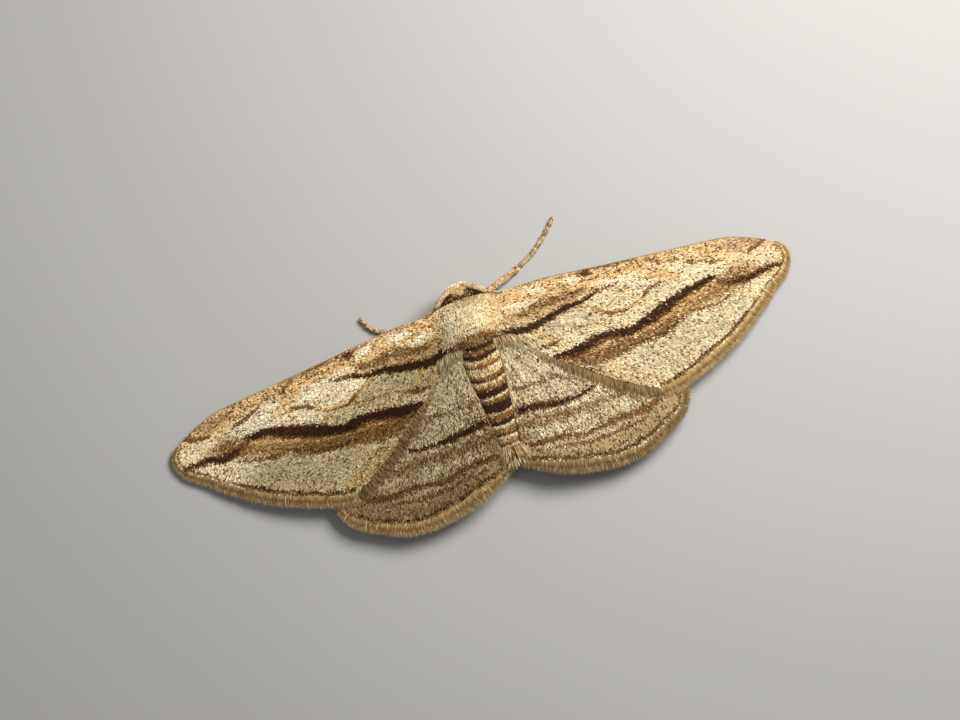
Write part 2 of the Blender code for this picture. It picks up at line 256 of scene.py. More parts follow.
FOREWING_STREAKS = (
    # Washes of colour, under the rest.
    wash(GOLD, 0.58, (1.2, 0.6, 0.7), (4.0, 0.5, 0.9), (7.5, 0.25, 0.9), (10.5, -0.05, 0.8),
        (13.0, -0.7, 1.1), (14.8, -1.4, 0.9)),
    wash(GOLD, 0.4, (1.2, -0.3, 0.6), (3.0, -0.5, 0.9), (5.0, -0.3, 0.7), (6.5, -0.2, 0.4)),
    wash(GREY, 0.45, (3.2, -1.4, 0.6), (4.5, -1.4, 0.9), (5.6, -1.5, 0.6)),
    wash(GREY, 0.45, (6.8, -3.9, 0.6), (8.0, -4.3, 1.2), (10.0, -3.9, 1.4), (12.0, -3.4, 1.0)),
    wash(TAN, 0.35, (1.6, -1.45, 0.5), (2.4, -1.6, 0.6), (3.3, -1.85, 0.4)),
    wash(DUN, 0.5, (3.0, -2.9, 0.4), (4.2, -3.8, 0.6), (5.2, -4.7, 0.7), (6.5, -5.4, 0.6)),
    wash(GOLD, 0.3, (5.4, -3.9, 0.4), (6.4, -4.9, 0.5), (7.6, -5.2, 0.4)),
    wash(TAN, 0.55, (9.4, -2.1, 0.7), (11.0, -1.95, 0.7), (12.4, -1.7, 0.8), (13.4, -1.75, 0.5)),
    wash(BROWN, 0.38, (12.0, -0.4, 0.3), (13.0, -0.58, 0.5), (13.9, -0.78, 0.4)),
    Streak(BROWN, 0.5, ((11.6, -1.84, 0.25), (12.4, -1.74, 0.42), (13.0, -1.86, 0.25)), 0.6),
    wash(GOLD, 0.6, (8.6, -0.5, 0.4), (9.2, -0.72, 0.5), (9.8, -1.0, 0.3)),
    # The costa: a brown edge, dark flecks, golden dashes, and pale patches between.
    Streak(BROWN, 0.1, ((1.6, 0.6, 0.5), (4.0, 0.52, 0.7), (8.0, 0.15, 0.8), (12.0, -0.4, 0.7)), 0.3, 1.0),
    Streak(BROWN, 0.55, ((1.8, 0.95, 0.06), (4.0, 0.87, 0.07), (7.0, 0.58, 0.09), (10.0, 0.28, 0.1),
        (12.4, 0.0, 0.12), (13.5, -0.36, 0.12), (14.5, -0.88, 0.08))),
    wash(WHITE, 0.85, (2.7, 0.5, 0.15), (3.2, 0.46, 0.3), (3.7, 0.32, 0.2)),
    wash(WHITE, 0.85, (4.7, 0.46, 0.15), (5.1, 0.32, 0.3), (5.4, 0.2, 0.1)),
    wash(WHITE, 0.8, (1.9, 0.2, 0.15), (2.35, -0.05, 0.35), (2.7, -0.2, 0.15)),
    wash(WHITE, 0.65, (5.5, -0.02, 0.1), (6.2, -0.18, 0.2), (7.6, -0.62, 0.3), (8.4, -0.9, 0.3)),
    wash(WHITE, 0.55, (9.6, -0.62, 0.3), (10.3, -0.85, 0.55), (11.3, -1.3, 0.5), (12.0, -1.35, 0.3)),
    wash(WHITE, 0.45, (13.3, -1.3, 0.5), (14.1, -1.45, 0.6), (14.6, -1.6, 0.4)),
    Streak(GOLD, 0.8, ((1.2, 0.52, 0.06), (2.2, 0.38, 0.08), (3.4, 0.18, 0.09), (4.6, 0.04, 0.1),
        (5.6, -0.02, 0.1), (7.0, -0.05, 0.08), (8.6, -0.2, 0.08)), grainy=0.3),
    Streak(TAN, 0.55, ((4.6, 0.66, 0.1), (6.0, 0.52, 0.2), (7.2, 0.42, 0.3), (8.4, 0.3, 0.2),
        (9.4, 0.2, 0.1)), 0.6),
    Streak(BROWN, 0.4, ((5.6, 0.62, 0.1), (7.0, 0.5, 0.2), (8.2, 0.38, 0.1)), 0.6),
    Streak(BROWN, 0.9, ((5.4, 0.54, 0.1), (5.75, 0.42, 0.3), (6.05, 0.34, 0.1))),
    Streak(CHOCOLATE, 0.55, ((5.5, 0.5, 0.1), (5.76, 0.42, 0.18), (5.98, 0.36, 0.06))),
    Streak(BROWN, 0.6, ((6.8, 0.43, 0.05), (7.4, 0.4, 0.08), (8.1, 0.3, 0.05))),
    Streak(BROWN, 0.6, ((8.7, 0.12, 0.1), (9.0, -0.02, 0.2), (9.2, -0.3, 0.12))),
    Streak(BROWN, 0.55, ((9.6, -0.33, 0.05), (10.0, -0.36, 0.08), (10.5, -0.42, 0.05))),
    Streak(BROWN, 0.8, ((10.5, -0.52, 0.08), (11.2, -0.8, 0.12), (11.7, -0.98, 0.14), (12.1, -1.08, 0.06))),
    # The brown cloud above the first streak, and the streak.
    Streak(TAN, 0.6, ((1.5, -0.45, 0.4), (2.6, -0.5, 0.6), (4.0, -0.45, 0.6), (5.3, -0.3, 0.4)), 0.5, 0.5),
    Streak(BROWN, 0.62, ((2.2, -0.42, 0.2), (2.7, -0.38, 0.3), (3.3, -0.2, 0.42), (3.9, -0.2, 0.4),
        (4.7, -0.28, 0.3), (5.5, -0.2, 0.15)), 0.5, 0.8),
    Streak(BROWN, 0.75, ((5.2, -0.75, 0.16), (5.7, -0.6, 0.22), (6.3, -0.5, 0.16), (7.1, -0.42, 0.05))),
    Streak(BROWN, 0.94, ((1.1, -0.84, 0.3), (2.25, -1.09, 0.36), (3.2, -0.98, 0.36), (4.2, -0.79, 0.32),
        (5.2, -0.74, 0.22)), 0.4),
    Streak(CHOCOLATE, 0.9, ((1.0, -0.8, 0.22), (1.5, -0.92, 0.26), (2.25, -1.09, 0.29), (3.0, -1.02, 0.28),
        (3.5, -0.92, 0.27), (4.0, -0.82, 0.26), (4.5, -0.73, 0.24), (5.0, -0.76, 0.2), (5.5, -0.68, 0.1),
        (6.0, -0.54, 0.05))),
    # Lines across the cell.
    Streak(GOLD, 0.9, ((4.9, -0.9, 0.1), (5.35, -1.1, 0.14), (5.8, -1.32, 0.18), (6.1, -1.58, 0.2),
        (6.5, -1.72, 0.2), (7.25, -1.7, 0.18), (8.0, -1.45, 0.12)), grainy=0.3),
    Streak(TAN, 0.85, ((4.9, -0.88, 0.06), (5.35, -1.08, 0.08), (5.8, -1.3, 0.09), (6.1, -1.56, 0.1),
        (6.5, -1.72, 0.1), (7.25, -1.72, 0.08), (8.0, -1.46, 0.06)), 0.4),
    Streak(BROWN, 0.8, ((5.9, -1.4, 0.06), (6.15, -1.6, 0.15), (6.5, -1.74, 0.1), (7.2, -1.76, 0.05))),
    Streak(BROWN, 0.9, ((8.0, -1.42, 0.08), (8.35, -1.22, 0.15), (8.95, -1.05, 0.08))),
    Streak(GOLD, 0.8, ((2.6, -1.25, 0.1), (2.95, -1.55, 0.15), (3.15, -1.95, 0.1)), grainy=0.4),
    Streak(BROWN, 0.9, ((2.6, -2.12, 0.08), (3.1, -2.14, 0.16), (3.7, -2.08, 0.08))),
    Streak(TAN, 0.65, ((3.5, -2.05, 0.1), (4.2, -1.86, 0.12), (4.9, -1.82, 0.12), (5.6, -1.86, 0.1),
        (6.2, -1.8, 0.1), (6.6, -1.76, 0.06)), 0.5),
    # The brown band, its darker rear edge, and the dashes behind it.
    Streak(TAN, 0.8, ((3.6, -3.05, 0.4), (4.8, -3.22, 0.8), (6.0, -3.22, 0.9), (7.4, -3.1, 0.85),
        (8.8, -2.9, 0.9), (10.0, -2.5, 0.85), (11.2, -2.3, 0.7), (12.4, -2.2, 0.5), (13.0, -2.1, 0.4)), 0.3,
        0.85),
    Streak(BROWN, 0.56, ((3.8, -3.12, 0.25), (4.7, -3.4, 0.6), (5.8, -3.46, 0.6), (6.8, -3.28, 0.45),
        (7.8, -3.26, 0.5), (8.7, -3.14, 0.5)), 0.5),
    Streak(BROWN, 0.28, ((8.7, -3.1, 0.4), (9.4, -2.88, 0.4), (10.2, -2.55, 0.34), (11.2, -2.33, 0.3),
        (12.2, -2.18, 0.3)), 0.5),
    Streak(CHOCOLATE, 0.35, ((6.6, -3.36, 0.08), (7.6, -3.42, 0.16), (8.6, -3.32, 0.18), (9.6, -2.95, 0.12))),
    Streak(BROWN, 0.7, ((9.8, -2.86, 0.1), (10.6, -2.88, 0.16), (11.4, -2.8, 0.14), (12.2, -2.6, 0.08))),
    # The main streak, with its golden edge, and the streak to the apex.
    Streak(GOLD, 0.4, ((4.9, -3.04, 0.1), (6.0, -2.92, 0.12), (7.4, -2.98, 0.12), (9.2, -2.56, 0.2),
        (10.2, -2.2, 0.2), (11.4, -1.98, 0.12)), grainy=0.5),
    Streak(BROWN, 0.85, ((3.2, -2.78, 0.2), (4.3, -2.86, 0.5), (5.0, -2.72, 0.48), (5.7, -2.62, 0.46),
        (6.7, -2.74, 0.44), (7.5, -2.68, 0.46), (8.2, -2.47, 0.54), (8.8, -2.28, 0.54), (9.4, -2.09, 0.48),
        (10.7, -1.75, 0.38), (11.5, -1.68, 0.15)), 0.3),
    Streak(CHOCOLATE, 0.93, ((2.95, -2.74, 0.12), (3.5, -2.77, 0.24), (3.9, -2.8, 0.33), (4.35, -2.81, 0.42),
        (5.0, -2.68, 0.37), (5.7, -2.57, 0.34), (6.3, -2.61, 0.33), (6.9, -2.73, 0.37), (7.5, -2.64, 0.4),
        (8.2, -2.43, 0.44), (8.8, -2.24, 0.46), (9.4, -2.06, 0.43), (10.0, -1.9, 0.33), (10.7, -1.72, 0.29),
        (11.3, -1.66, 0.18), (11.55, -1.68, 0.05)), 0.4),
    Streak(BROWN, 0.8, ((11.6, -2.0, 0.2), (12.5, -2.14, 0.42), (13.1, -2.17, 0.36), (13.8, -2.04, 0.26),
        (14.7, -2.05, 0.2)), 0.5),
    Streak(CHOCOLATE, 0.8, ((12.0, -2.1, 0.14), (12.6, -2.2, 0.26), (13.1, -2.2, 0.22), (13.7, -2.06, 0.15),
        (14.2, -2.04, 0.14), (14.8, -2.08, 0.08)), 0.5),
    Streak(BROWN, 1.0, ((13.2, -1.02, 0.1), (13.8, -0.98, 0.18), (14.35, -0.84, 0.18))),
    # Brown lines along the veins near the rear margin.
    Streak(TAN, 0.6, ((5.5, -3.95, 0.08), (6.2, -4.4, 0.12), (6.9, -4.9, 0.12), (7.6, -5.35, 0.08)), 0.5,
        0.5),
    Streak(TAN, 0.5, ((4.8, -3.9, 0.12), (5.6, -4.6, 0.14), (6.3, -5.1, 0.12)), 0.5, 0.5),
    Streak(TAN, 0.4, ((8.0, -3.8, 0.08), (9.0, -4.5, 0.1), (9.6, -5.0, 0.08)), 0.5, 0.6),
    Streak(TAN, 0.4, ((9.8, -3.3, 0.08), (11.0, -4.0, 0.1), (11.6, -4.35, 0.08)), 0.5, 0.6),
)

HINDWING_STREAKS = (
    wash(GREY, 0.5, (1.2, -1.5, 1.0), (2.5, -3.0, 2.4), (4.5, -4.0, 1.6)),
    wash(TAN, 0.5, (0.5, -4.9, 0.5), (0.7, -5.8, 0.8), (0.8, -7.2, 1.0)),
    wash(DUN, 0.68, (1.0, -6.6, 0.9), (3.0, -6.95, 1.1), (5.0, -7.0, 1.2), (6.6, -6.8, 1.1),
        (8.0, -6.3, 0.7)),
    wash(DUN, 0.25, (4.5, -5.6, 0.8), (6.2, -5.9, 1.0), (7.6, -5.9, 0.8)),
    wash(WHITE, 0.15, (1.0, -5.88, 0.3), (3.0, -5.92, 0.3), (5.5, -5.85, 0.3)),
    wash(WHITE, 0.3, (1.4, -6.5, 0.12), (3.0, -6.78, 0.14), (4.6, -6.72, 0.16), (6.0, -6.62, 0.12)),
    Streak(BROWN, 0.55, ((0.7, -3.5, 0.12), (1.6, -3.55, 0.18), (2.4, -3.58, 0.16), (3.3, -3.62, 0.06)), 0.6),
    Streak(BROWN, 0.35, ((2.6, -3.3, 0.1), (4.0, -4.1, 0.14), (5.4, -4.5, 0.1)), 0.6),
    Streak(DUN, 0.68, ((0.6, -5.15, 0.5), (2.0, -5.28, 0.58), (3.4, -5.34, 0.46), (4.8, -5.36, 0.36),
        (6.5, -5.4, 0.3)), 0.5, 0.6),
    Streak(BROWN, 0.45, ((0.7, -5.15, 0.4), (1.5, -5.3, 0.44), (2.4, -5.34, 0.4), (3.0, -5.36, 0.3)), 0.5),
    Streak(BROWN, 0.28, ((3.0, -5.36, 0.3), (4.4, -5.36, 0.3), (5.6, -5.4, 0.2)), 0.5),
    Streak(BROWN, 0.9, ((0.8, -6.2, 0.2), (1.6, -6.25, 0.24), (2.6, -6.34, 0.24), (3.4, -6.56, 0.2),
        (4.4, -6.44, 0.18), (5.2, -6.38, 0.28), (6.2, -6.4, 0.32), (7.2, -6.2, 0.24)), 0.5),
    Streak(BROWN, 0.6, ((1.3, -6.66, 0.1), (2.7, -6.78, 0.16), (3.8, -6.98, 0.2), (5.0, -6.9, 0.16),
        (6.4, -6.8, 0.14)), 0.6),
    Streak(DUN, 0.8, ((1.2, -6.92, 0.22), (3.0, -7.3, 0.36), (4.6, -7.5, 0.42), (6.0, -7.3, 0.42),
        (7.8, -6.7, 0.3)), 0.6),
    Streak(BROWN, 0.3, ((1.2, -6.96, 0.16), (3.0, -7.4, 0.2), (4.6, -7.62, 0.24), (6.0, -7.42, 0.24)), 0.6),
    Streak(WHITE, 0.6, ((1.2, -4.84, 0.1), (2.5, -4.97, 0.12), (3.4, -5.0, 0.12), (4.2, -4.92, 0.08))),
    Streak(BROWN, 0.75, ((0.4, -4.5, 0.38), (1.6, -4.62, 0.42), (2.5, -4.74, 0.42), (3.2, -4.8, 0.26),
        (3.9, -4.8, 0.18), (4.5, -4.62, 0.14)), 0.5),
    Streak(CHOCOLATE, 0.92, ((0.4, -4.48, 0.24), (1.2, -4.54, 0.26), (1.9, -4.64, 0.26), (2.6, -4.74, 0.26),
        (3.2, -4.78, 0.16), (3.8, -4.78, 0.1), (4.5, -4.62, 0.06)), 0.4),
)


@dataclass(frozen=True)
class Mottle:
    """A mosaic of single-coloured scales, as the share that each hue has of it."""

    shares: tuple[tuple[Hue, float], ...]

    def parts(self) -> tuple[Array, list[float]]:
        """The hues as colours, and their shares."""
        return np.array([hue.value for hue, _ in self.shares]), [share for _, share in self.shares]

    def pick(self, chance: Array) -> Array:
        """Gives each scale a hue, in the order of the shares, by its chance among the rest.

        Args:
            chance: Any numbers; the lowest take the first hue.

        Returns:
            One colour in each row.
        """
        rank = np.empty(len(chance))
        rank[np.argsort(chance)] = (np.arange(len(chance)) + 0.5) / max(len(chance), 1)
        colours, shares = self.parts()
        which = np.minimum(np.searchsorted(np.cumsum(shares) / sum(shares), rank), len(shares) - 1)
        return colours[which]

    def mean(self) -> Array:
        """The mosaic's mean colour."""
        colours, shares = self.parts()
        return np.average(colours, axis=0, weights=shares)


WING_MOTTLE = Mottle(((TAN, 0.11), (GREY, 0.2), (CREAM, 0.4), (WHITE, 0.29)))
REAR_MOTTLE = Mottle(((BROWN, 0.13), (DUN, 0.17), (GREY, 0.36), (CREAM, 0.2), (WHITE, 0.14)))
UNDER_MOTTLE = Mottle(((TAN, 0.25), (GREY, 0.35), (CREAM, 0.4)))
CHEST_MOTTLE = Mottle(((TAN, 0.13), (GREY, 0.11), (CREAM, 0.54), (WHITE, 0.22)))
BELLY_MOTTLE = Mottle(((TAN, 0.22), (GREY, 0.28), (CREAM, 0.5)))
ROOT_MOTTLE = Mottle(((BROWN, 0.13), (DUN, 0.12), (GREY, 0.33), (CREAM, 0.24), (WHITE, 0.18)))
SADDLE_MOTTLE = Mottle(((BROWN, 0.16), (TAN, 0.14), (GREY, 0.28), (CREAM, 0.24), (WHITE, 0.18)))
LIMB_MOTTLE = Mottle(((BROWN, 0.1), (TAN, 0.26), (GOLD, 0.14), (CREAM, 0.5)))


@dataclass(frozen=True)
class Painter:
    """Colours scales, and the skin under them, from streaks over a mottled ground."""

    mottle: Mottle
    streaks: tuple[Streak, ...] = ()
    bold: float = 1.0        # a factor on the streaks' width
    vivid: float = 1.0       # a factor on their strength
    seed: int = 1
    ragged: float = 0.03     # how far chance shifts a scale over an edge, in millimetres
    uneven: float = 0.3      # how far the scales differ in brightness
    # Darkened scales: dark specks, and painted shade of the gaps between scales.
    dots: float = 0.075      # the share of dark scales, strewn over everything

    def skin(self, x: Array, y: Array) -> Array:
        """The mean colour at each point, a little darker than the coat over it."""
        tone = np.tile(self.mottle.mean(), (len(x), 1))
        for streak in self.streaks:
            cover = streak.cover(x, y, self.bold)[:, None]
            tone += cover * (np.array(streak.hue.value) - tone)
        return 0.8 * tone

    def scales(self, x: Array, y: Array, along: Array, across: Array) -> Array:
        """A colour for each scale.

        Args:
            x: Distances from the middle line of the body.
            y: Distances ahead of the chest.
            along: Places along the lie, which dark flecks follow.
            across: Places across it.

        Returns:
            One colour in each row.
        """
        rng = np.random.default_rng(self.seed)
        grain = Grain(self.seed)
        chance = (rng.random(len(x)) + 0.45 * grain.at(along * 1.1, across * 3.2)
                  + 0.25 * grain.at(along * 5.0, across * 9.0))
        tone = self.mottle.pick(chance)
        near = [value + self.ragged * rng.normal(0, 1, len(x))
                + 0.1 * (grain.at(x * 1.7 + a, y * 1.7 + b) - 0.5) for value, a, b in ((x, 9, 0), (y, 0, 31))]
        for streak in self.streaks:
            cover = np.minimum(self.vivid * streak.cover(*near, self.bold), 1)
            share = streak.grainy * (rng.random(len(x)) < cover) + (1 - streak.grainy) * cover
            tone += share[:, None] * (np.array(streak.hue.value) - tone)
        # Darkened scales: dark specks, and painted shade of the gaps between scales.
        tone[rng.random(len(x)) < self.dots] *= (0.3, 0.21, 0.15)
        return tone * rng.uniform(1 - self.uneven, 1 + self.uneven, (len(x), 1))


# ------------ surfaces


EVEN_STEPS = (0.7548776662, 0.569840291)      # repeated, they fill a square evenly


class Surface:
    """A smooth patch, with s from its root to its tip and t across it or around it.

    Places are in the moth's millimetres. `facing` is 1 or -1, so that `up` points outwards.
    """

    facing: float = 1.0

    def at(self, s: Array, t: Array) -> Array:
        """The place of each pair of s and t."""
        raise NotImplementedError

    def axes(self, s: Array, t: Array) -> tuple[Array, Array]:
        """How fast the place moves with s, and with t."""
        step = 2e-3
        before, after = np.clip(s - step, 0, 1), np.clip(s + step, 0, 1)
        left, right = np.clip(t - step, 0, 1), np.clip(t + step, 0, 1)
        along = (self.at(after, t) - self.at(before, t)) / (after - before)[:, None]
        across = (self.at(s, right) - self.at(s, left)) / (right - left)[:, None]
        return along, across

    def up(self, s: Array, t: Array) -> Array:
        """The outward direction at each place."""
        return self.facing * unit_rows(np.cross(*self.axes(s, t)))

    def sow(self, per_mm2: float, seed: int, s_span: Pair = (0.0, 1.0)) -> tuple[Array, Array]:
        """Spreads seats evenly over the patch, like scales in rough rows.

        Args:
            per_mm2: How many seats a square millimetre takes.
            seed: The seed for their small shifts.
            s_span: The stretch of s to sow.

        Returns:
            The seats' s and t.
        """
        rng = np.random.default_rng(seed)
        probe = (np.arange(40) + 0.5) / 40
        first, long = s_span[0], s_span[1] - s_span[0]
        near_s = first + long * np.repeat(probe, 40)
        stretch = np.linalg.norm(np.cross(*self.axes(near_s, np.tile(probe, 40))), axis=1)
        most = np.percentile(stretch, 99)
        count = int(per_mm2 * most * long)
        u, t = ((0.5 + np.arange(count) * step + rng.normal(0, 0.3 / math.sqrt(count), count)) % 1
                for step in EVEN_STEPS)
        s = first + long * u
        keep = rng.random(count) * most < np.linalg.norm(np.cross(*self.axes(s, t)), axis=1)
        return s[keep], t[keep]


def wing_height(x: Array, y: Array) -> Array:
    """Height of the middle of the forewing's solid, which falls to the tip and to the rear."""
    along = np.clip((x - 1.45) / (HALF_SPAN - 1.45), 0, 1)
    fall = (1 - along) ** 1.6 * (1 - 0.5 * ease(-y / 8.0))
    return 0.9 + 1.7 * fall - 0.4 * ease((x - 9.2) / (HALF_SPAN - 9.2))


@dataclass(frozen=True)
class WingPlan:
    """One kind of wing on the right side, without its fringe, as places (x, y)."""

    kind: str
    costa: tuple[Pair, ...]     # root to apex
    inner: tuple[Pair, ...]     # root to the hind corner
    outer: tuple[Pair, ...]     # apex to the hind corner
    veins: tuple[tuple[Pair, ...], ...]
    lowered: float              # the membrane's middle, below the forewing solid's
    painter: Painter
    fringe: tuple[float, ...]   # hair lengths from the apex to the hind corner

    def flat(self, s: Array, t: Array) -> Array:
        """The place in plan: between the front and rear edges, and out to the bulge of the margin."""
        share = t[:, None]
        chord = (1 - share) * np.array(self.costa[-1]) + share * np.array(self.inner[-1])
        bulge = even_line(self.outer, t) - chord
        return (1 - share) * even_line(self.costa, s) + share * even_line(self.inner, s) + s[:, None] * bulge

    def relief(self, x: Array, y: Array) -> Array:
        """How far veins and the gentle folds between them lift the membrane, in millimetres."""
        lift = np.zeros(len(x))
        for vein in self.veins:
            ridge = Streak(TAN, 1.0, tuple((*knot, 0.2) for knot in vein), 0.8)
            lift = np.maximum(lift, ridge.cover(x, y, 1.0))
        waves = Grain(5)
        return 0.035 * lift + 0.07 * (waves.at(x * 0.8 + 7, y * 1.1 + 50) - 0.5)


@dataclass(frozen=True)
class Membrane(Surface):
    """The upper or the lower face of one wing."""

    plan: WingPlan
    side: Side
    top: bool
    thickness: float = 0.05

    @property
    def facing(self) -> float:
        """The sign that turns the normal outwards."""
        return -self.side.value if self.top else self.side.value

    def at(self, s: Array, t: Array) -> Array:
        """The place of each pair of s and t."""
        x, y = self.plan.flat(s, t).T
        calm = (1 - ease(s, 0.93, 1.0)) * (1 - ease(t, 0.95, 1.0))     # the margins have no folds
        middle = wing_height(x, y) - self.plan.lowered + calm * self.plan.relief(x, y)
        if self.plan.kind == "hindwing":
            middle += 0.08 * (1 - ease(x, 0.8, 2.2)) * (1 - ease(-y, 3.0, 5.0))
            middle -= 0.2 * ease(-y, 5.2, 6.6) * (1 - ease(x, 0.5, 2.0))
        half = self.thickness / 2 * (1 if self.top else -1)
        return np.column_stack([x * self.side.value, y, middle + half])

    def rim(self, u: Array, inset: float, inner: bool = False) -> tuple[Array, Array]:
        """Places along the outer or the inner margin, and the way out of the wing at each.

        Args:
            u: Shares of the margin, from the apex or from the root.
            inset: How far inside the margin the places lie, in millimetres.
            inner: Whether it is the inner margin.

        Returns:
            The places, and unit vectors that point outwards.
        """
        full = np.ones(len(u))
        s, t = (u, full) if inner else (full, u)
        axes = self.axes(s, t)
        along, outward = axes if inner else axes[::-1]
        out = unit_rows(np.cross(along, self.up(s, t)))
        out *= np.sign(np.sum(out * outward, axis=1, keepdims=True))
        return self.at(s, t) - inset * out, out


def map_places(s: Array, t: Array) -> Array:
    """Where seats at s and t lie on a map of the whole patch, which has a narrow border."""
    return 0.02 + 0.95 * np.column_stack([s, t])


def upright_frames(line: Array) -> tuple[Array, Array]:
    """The sideways and the upward direction at each place of a line that is nowhere upright."""
    ahead = np.gradient(line, axis=0)
    across = unit_rows(np.cross(ahead, (0.0, 0.0, 1.0)))
    return across, unit_rows(np.cross(across, ahead))


RING_SWELL, RING_WIDTH = 0.22, 0.012      # how much a joint swells, and over how much of the limb


@dataclass(frozen=True)
class Tube(Surface):
    """A limb: knots of (x, y, z, radius) for the right side, and rings where its joints swell."""

    knots: tuple[Quad, ...]
    side: Side
    rings: tuple[float, ...] = ()
    facing: float = -1.0

    def line(self, s: Array) -> tuple[Array, Array, Array, Array]:
        """The middle line's places, its radii, and its sideways and upward directions."""
        fine = np.linspace(0, 1, 240)
        path = even_line(self.knots, fine)
        path[:, 0] *= self.side.value
        across, upward = upright_frames(path[:, :3])
        columns = np.column_stack([path, across, upward])
        found = np.column_stack([np.interp(s, fine, column) for column in columns.T])
        radius = found[:, 3] * (1 - np.clip((s - 0.985) / 0.015, 0, 1) ** 2 * 0.6)
        for ring in self.rings:
            radius = radius * (1 + RING_SWELL * np.exp(-((s - ring) / RING_WIDTH) ** 2))
        return found[:, :3], radius, found[:, 4:7], found[:, 7:10]

    def at(self, s: Array, t: Array) -> Array:
        """The place of each pair of s and t, with t once round from the top."""
        middle, radius, across, upward = self.line(s)
        turn = 2 * np.pi * t
        offset = np.sin(turn)[:, None] * across + np.cos(turn)[:, None] * upward
        return middle + radius[:, None] * offset


@dataclass(frozen=True)
class Trunk(Surface):
    """Head, chest and abdomen in one, from front to rear: sections (y, half width, low, high)."""

    sections: tuple[Quad, ...]

    def at(self, s: Array, t: Array) -> Array:
        """The place of each pair of s and t, with t once round from the top."""
        found = even_line(self.sections, s)
        turn = 2 * np.pi * t
        middle, half = (found[:, 2] + found[:, 3]) / 2, (found[:, 3] - found[:, 2]) / 2
        return np.column_stack([found[:, 1] * np.sin(turn), found[:, 0], middle + half * np.cos(turn)])


# ------------ meshes


def add_numbers(mesh: bpy.types.Mesh, name: str, values: Array, kind: str = "FLOAT_VECTOR",
                domain: str = "POINT") -> None:
    """Stores an array on a mesh as a named attribute."""
    values = np.asarray(values, np.float32)
    if kind == "FLOAT_COLOR":
        values = np.column_stack([values, np.ones(len(values), np.float32)])
    word = "color" if kind == "FLOAT_COLOR" else "vector"
    mesh.attributes.new(name, kind, domain).data.foreach_set(word, np.ascontiguousarray(values).ravel())


def new_object(name: str, data: bpy.types.ID) -> Object:
    """Links a mesh, a lamp or a camera to the scene as an object."""
    obj = bpy.data.objects.new(name, data)
    bpy.context.scene.collection.objects.link(obj)
    return obj


def made_real(obj: Object, tree: Tree, values: dict[str, object]) -> None:
    """Runs a node tree on an object and keeps the result as plain mesh.

    Args:
        obj: The object, whose mesh is replaced.
        tree: The Geometry Nodes tree.
        values: What its inputs are set to, by name, before it first runs.
    """
    run = obj.modifiers.new("nodes", "NODES")
    run.node_group = tree
    sockets = {item.name: item.identifier for item in tree.interface.items_tree}
    for name, value in values.items():
        run[sockets[name]] = value
    graph = bpy.context.evaluated_depsgraph_get()
    result = bpy.data.meshes.new_from_object(obj.evaluated_get(graph), depsgraph=graph)
    obj.modifiers.clear()
    start, obj.data = obj.data, result
    bpy.data.meshes.remove(start)
    result.name = obj.name


class Wiring:
    """A node tree, with short calls that add nodes and feed their inputs."""

    def __init__(self, tree: Tree) -> None:
        """Takes the tree."""
        self.tree = tree

    def feed(self, node: Node, feeds: dict[str | int, object]) -> Node:
        """Links a node's inputs to sockets, or sets them to plain values."""
        for key, value in feeds.items():
            if isinstance(value, Socket):
                self.tree.links.new(value, node.inputs[key])
            else:
                node.inputs[key].default_value = value
        return node

    def node(self, kind: str, feeds: dict[str | int, object], **settings: object) -> Node:
        """Adds a node with some of its settings, and feeds its inputs."""
        made = self.tree.nodes.new(kind)
        for name, value in settings.items():
            setattr(made, name, value)
        return self.feed(made, feeds)

    def maths(self, operation: str, feeds: dict[str | int, object]) -> Socket:
        """The result of a sum on vectors."""
        return self.node("ShaderNodeVectorMath", feeds, operation=operation).outputs[0]

    def end(self, mesh: Socket, finish: Socket) -> None:
        """Puts a finish on a mesh and hands it over."""
        done = self.node("GeometryNodeSetMaterial", {"Geometry": mesh, "Material": finish})
        self.node("NodeGroupOutput", {0: done.outputs[0]})


def geometry_tree(name: str, takes: dict[str, str], gives: str) -> Tree:
    """An empty Geometry Nodes tree with named inputs of the given kinds, and one output."""
    tree = bpy.data.node_groups.new(name, "GeometryNodeTree")
    for title, kind in takes.items():
        tree.interface.new_socket(title, in_out="INPUT", socket_type=f"NodeSocket{kind}")
    tree.interface.new_socket(gives, in_out="OUTPUT", socket_type="NodeSocketGeometry")
    return tree


@dataclass
class Shell:
    """A grid of points with its faces, colours, and map places, ready to join into the skin."""

    points: Array
    faces: Array
    tones: Array
    corners: Array


def grid_faces(rows: int, columns: int, closed: bool, flip: bool) -> tuple[Array, Array]:
    """Quads over a grid of points, and each corner's share of the grid.

    Args:
        rows: Rows of points, along s.
        columns: Columns of points, along t.
        closed: Whether the last column joins the first.
        flip: Whether to turn the faces round.

    Returns:
        The faces as indices, and the corners' s and t.
    """
    last = columns if closed else columns - 1
    i, j = (a.ravel() for a in np.meshgrid(np.arange(rows - 1), np.arange(last), indexing="ij"))
    ring = [(0, 0), (0, 1), (1, 1), (1, 0)]
    if flip:
        ring.reverse()
    faces = np.stack([(i + a) * columns + (j + b) % columns for a, b in ring], axis=1)
    corners = np.stack([np.stack([(i + a) / (rows - 1), (j + b) / last], axis=1) for a, b in ring], axis=1)
    return faces, corners


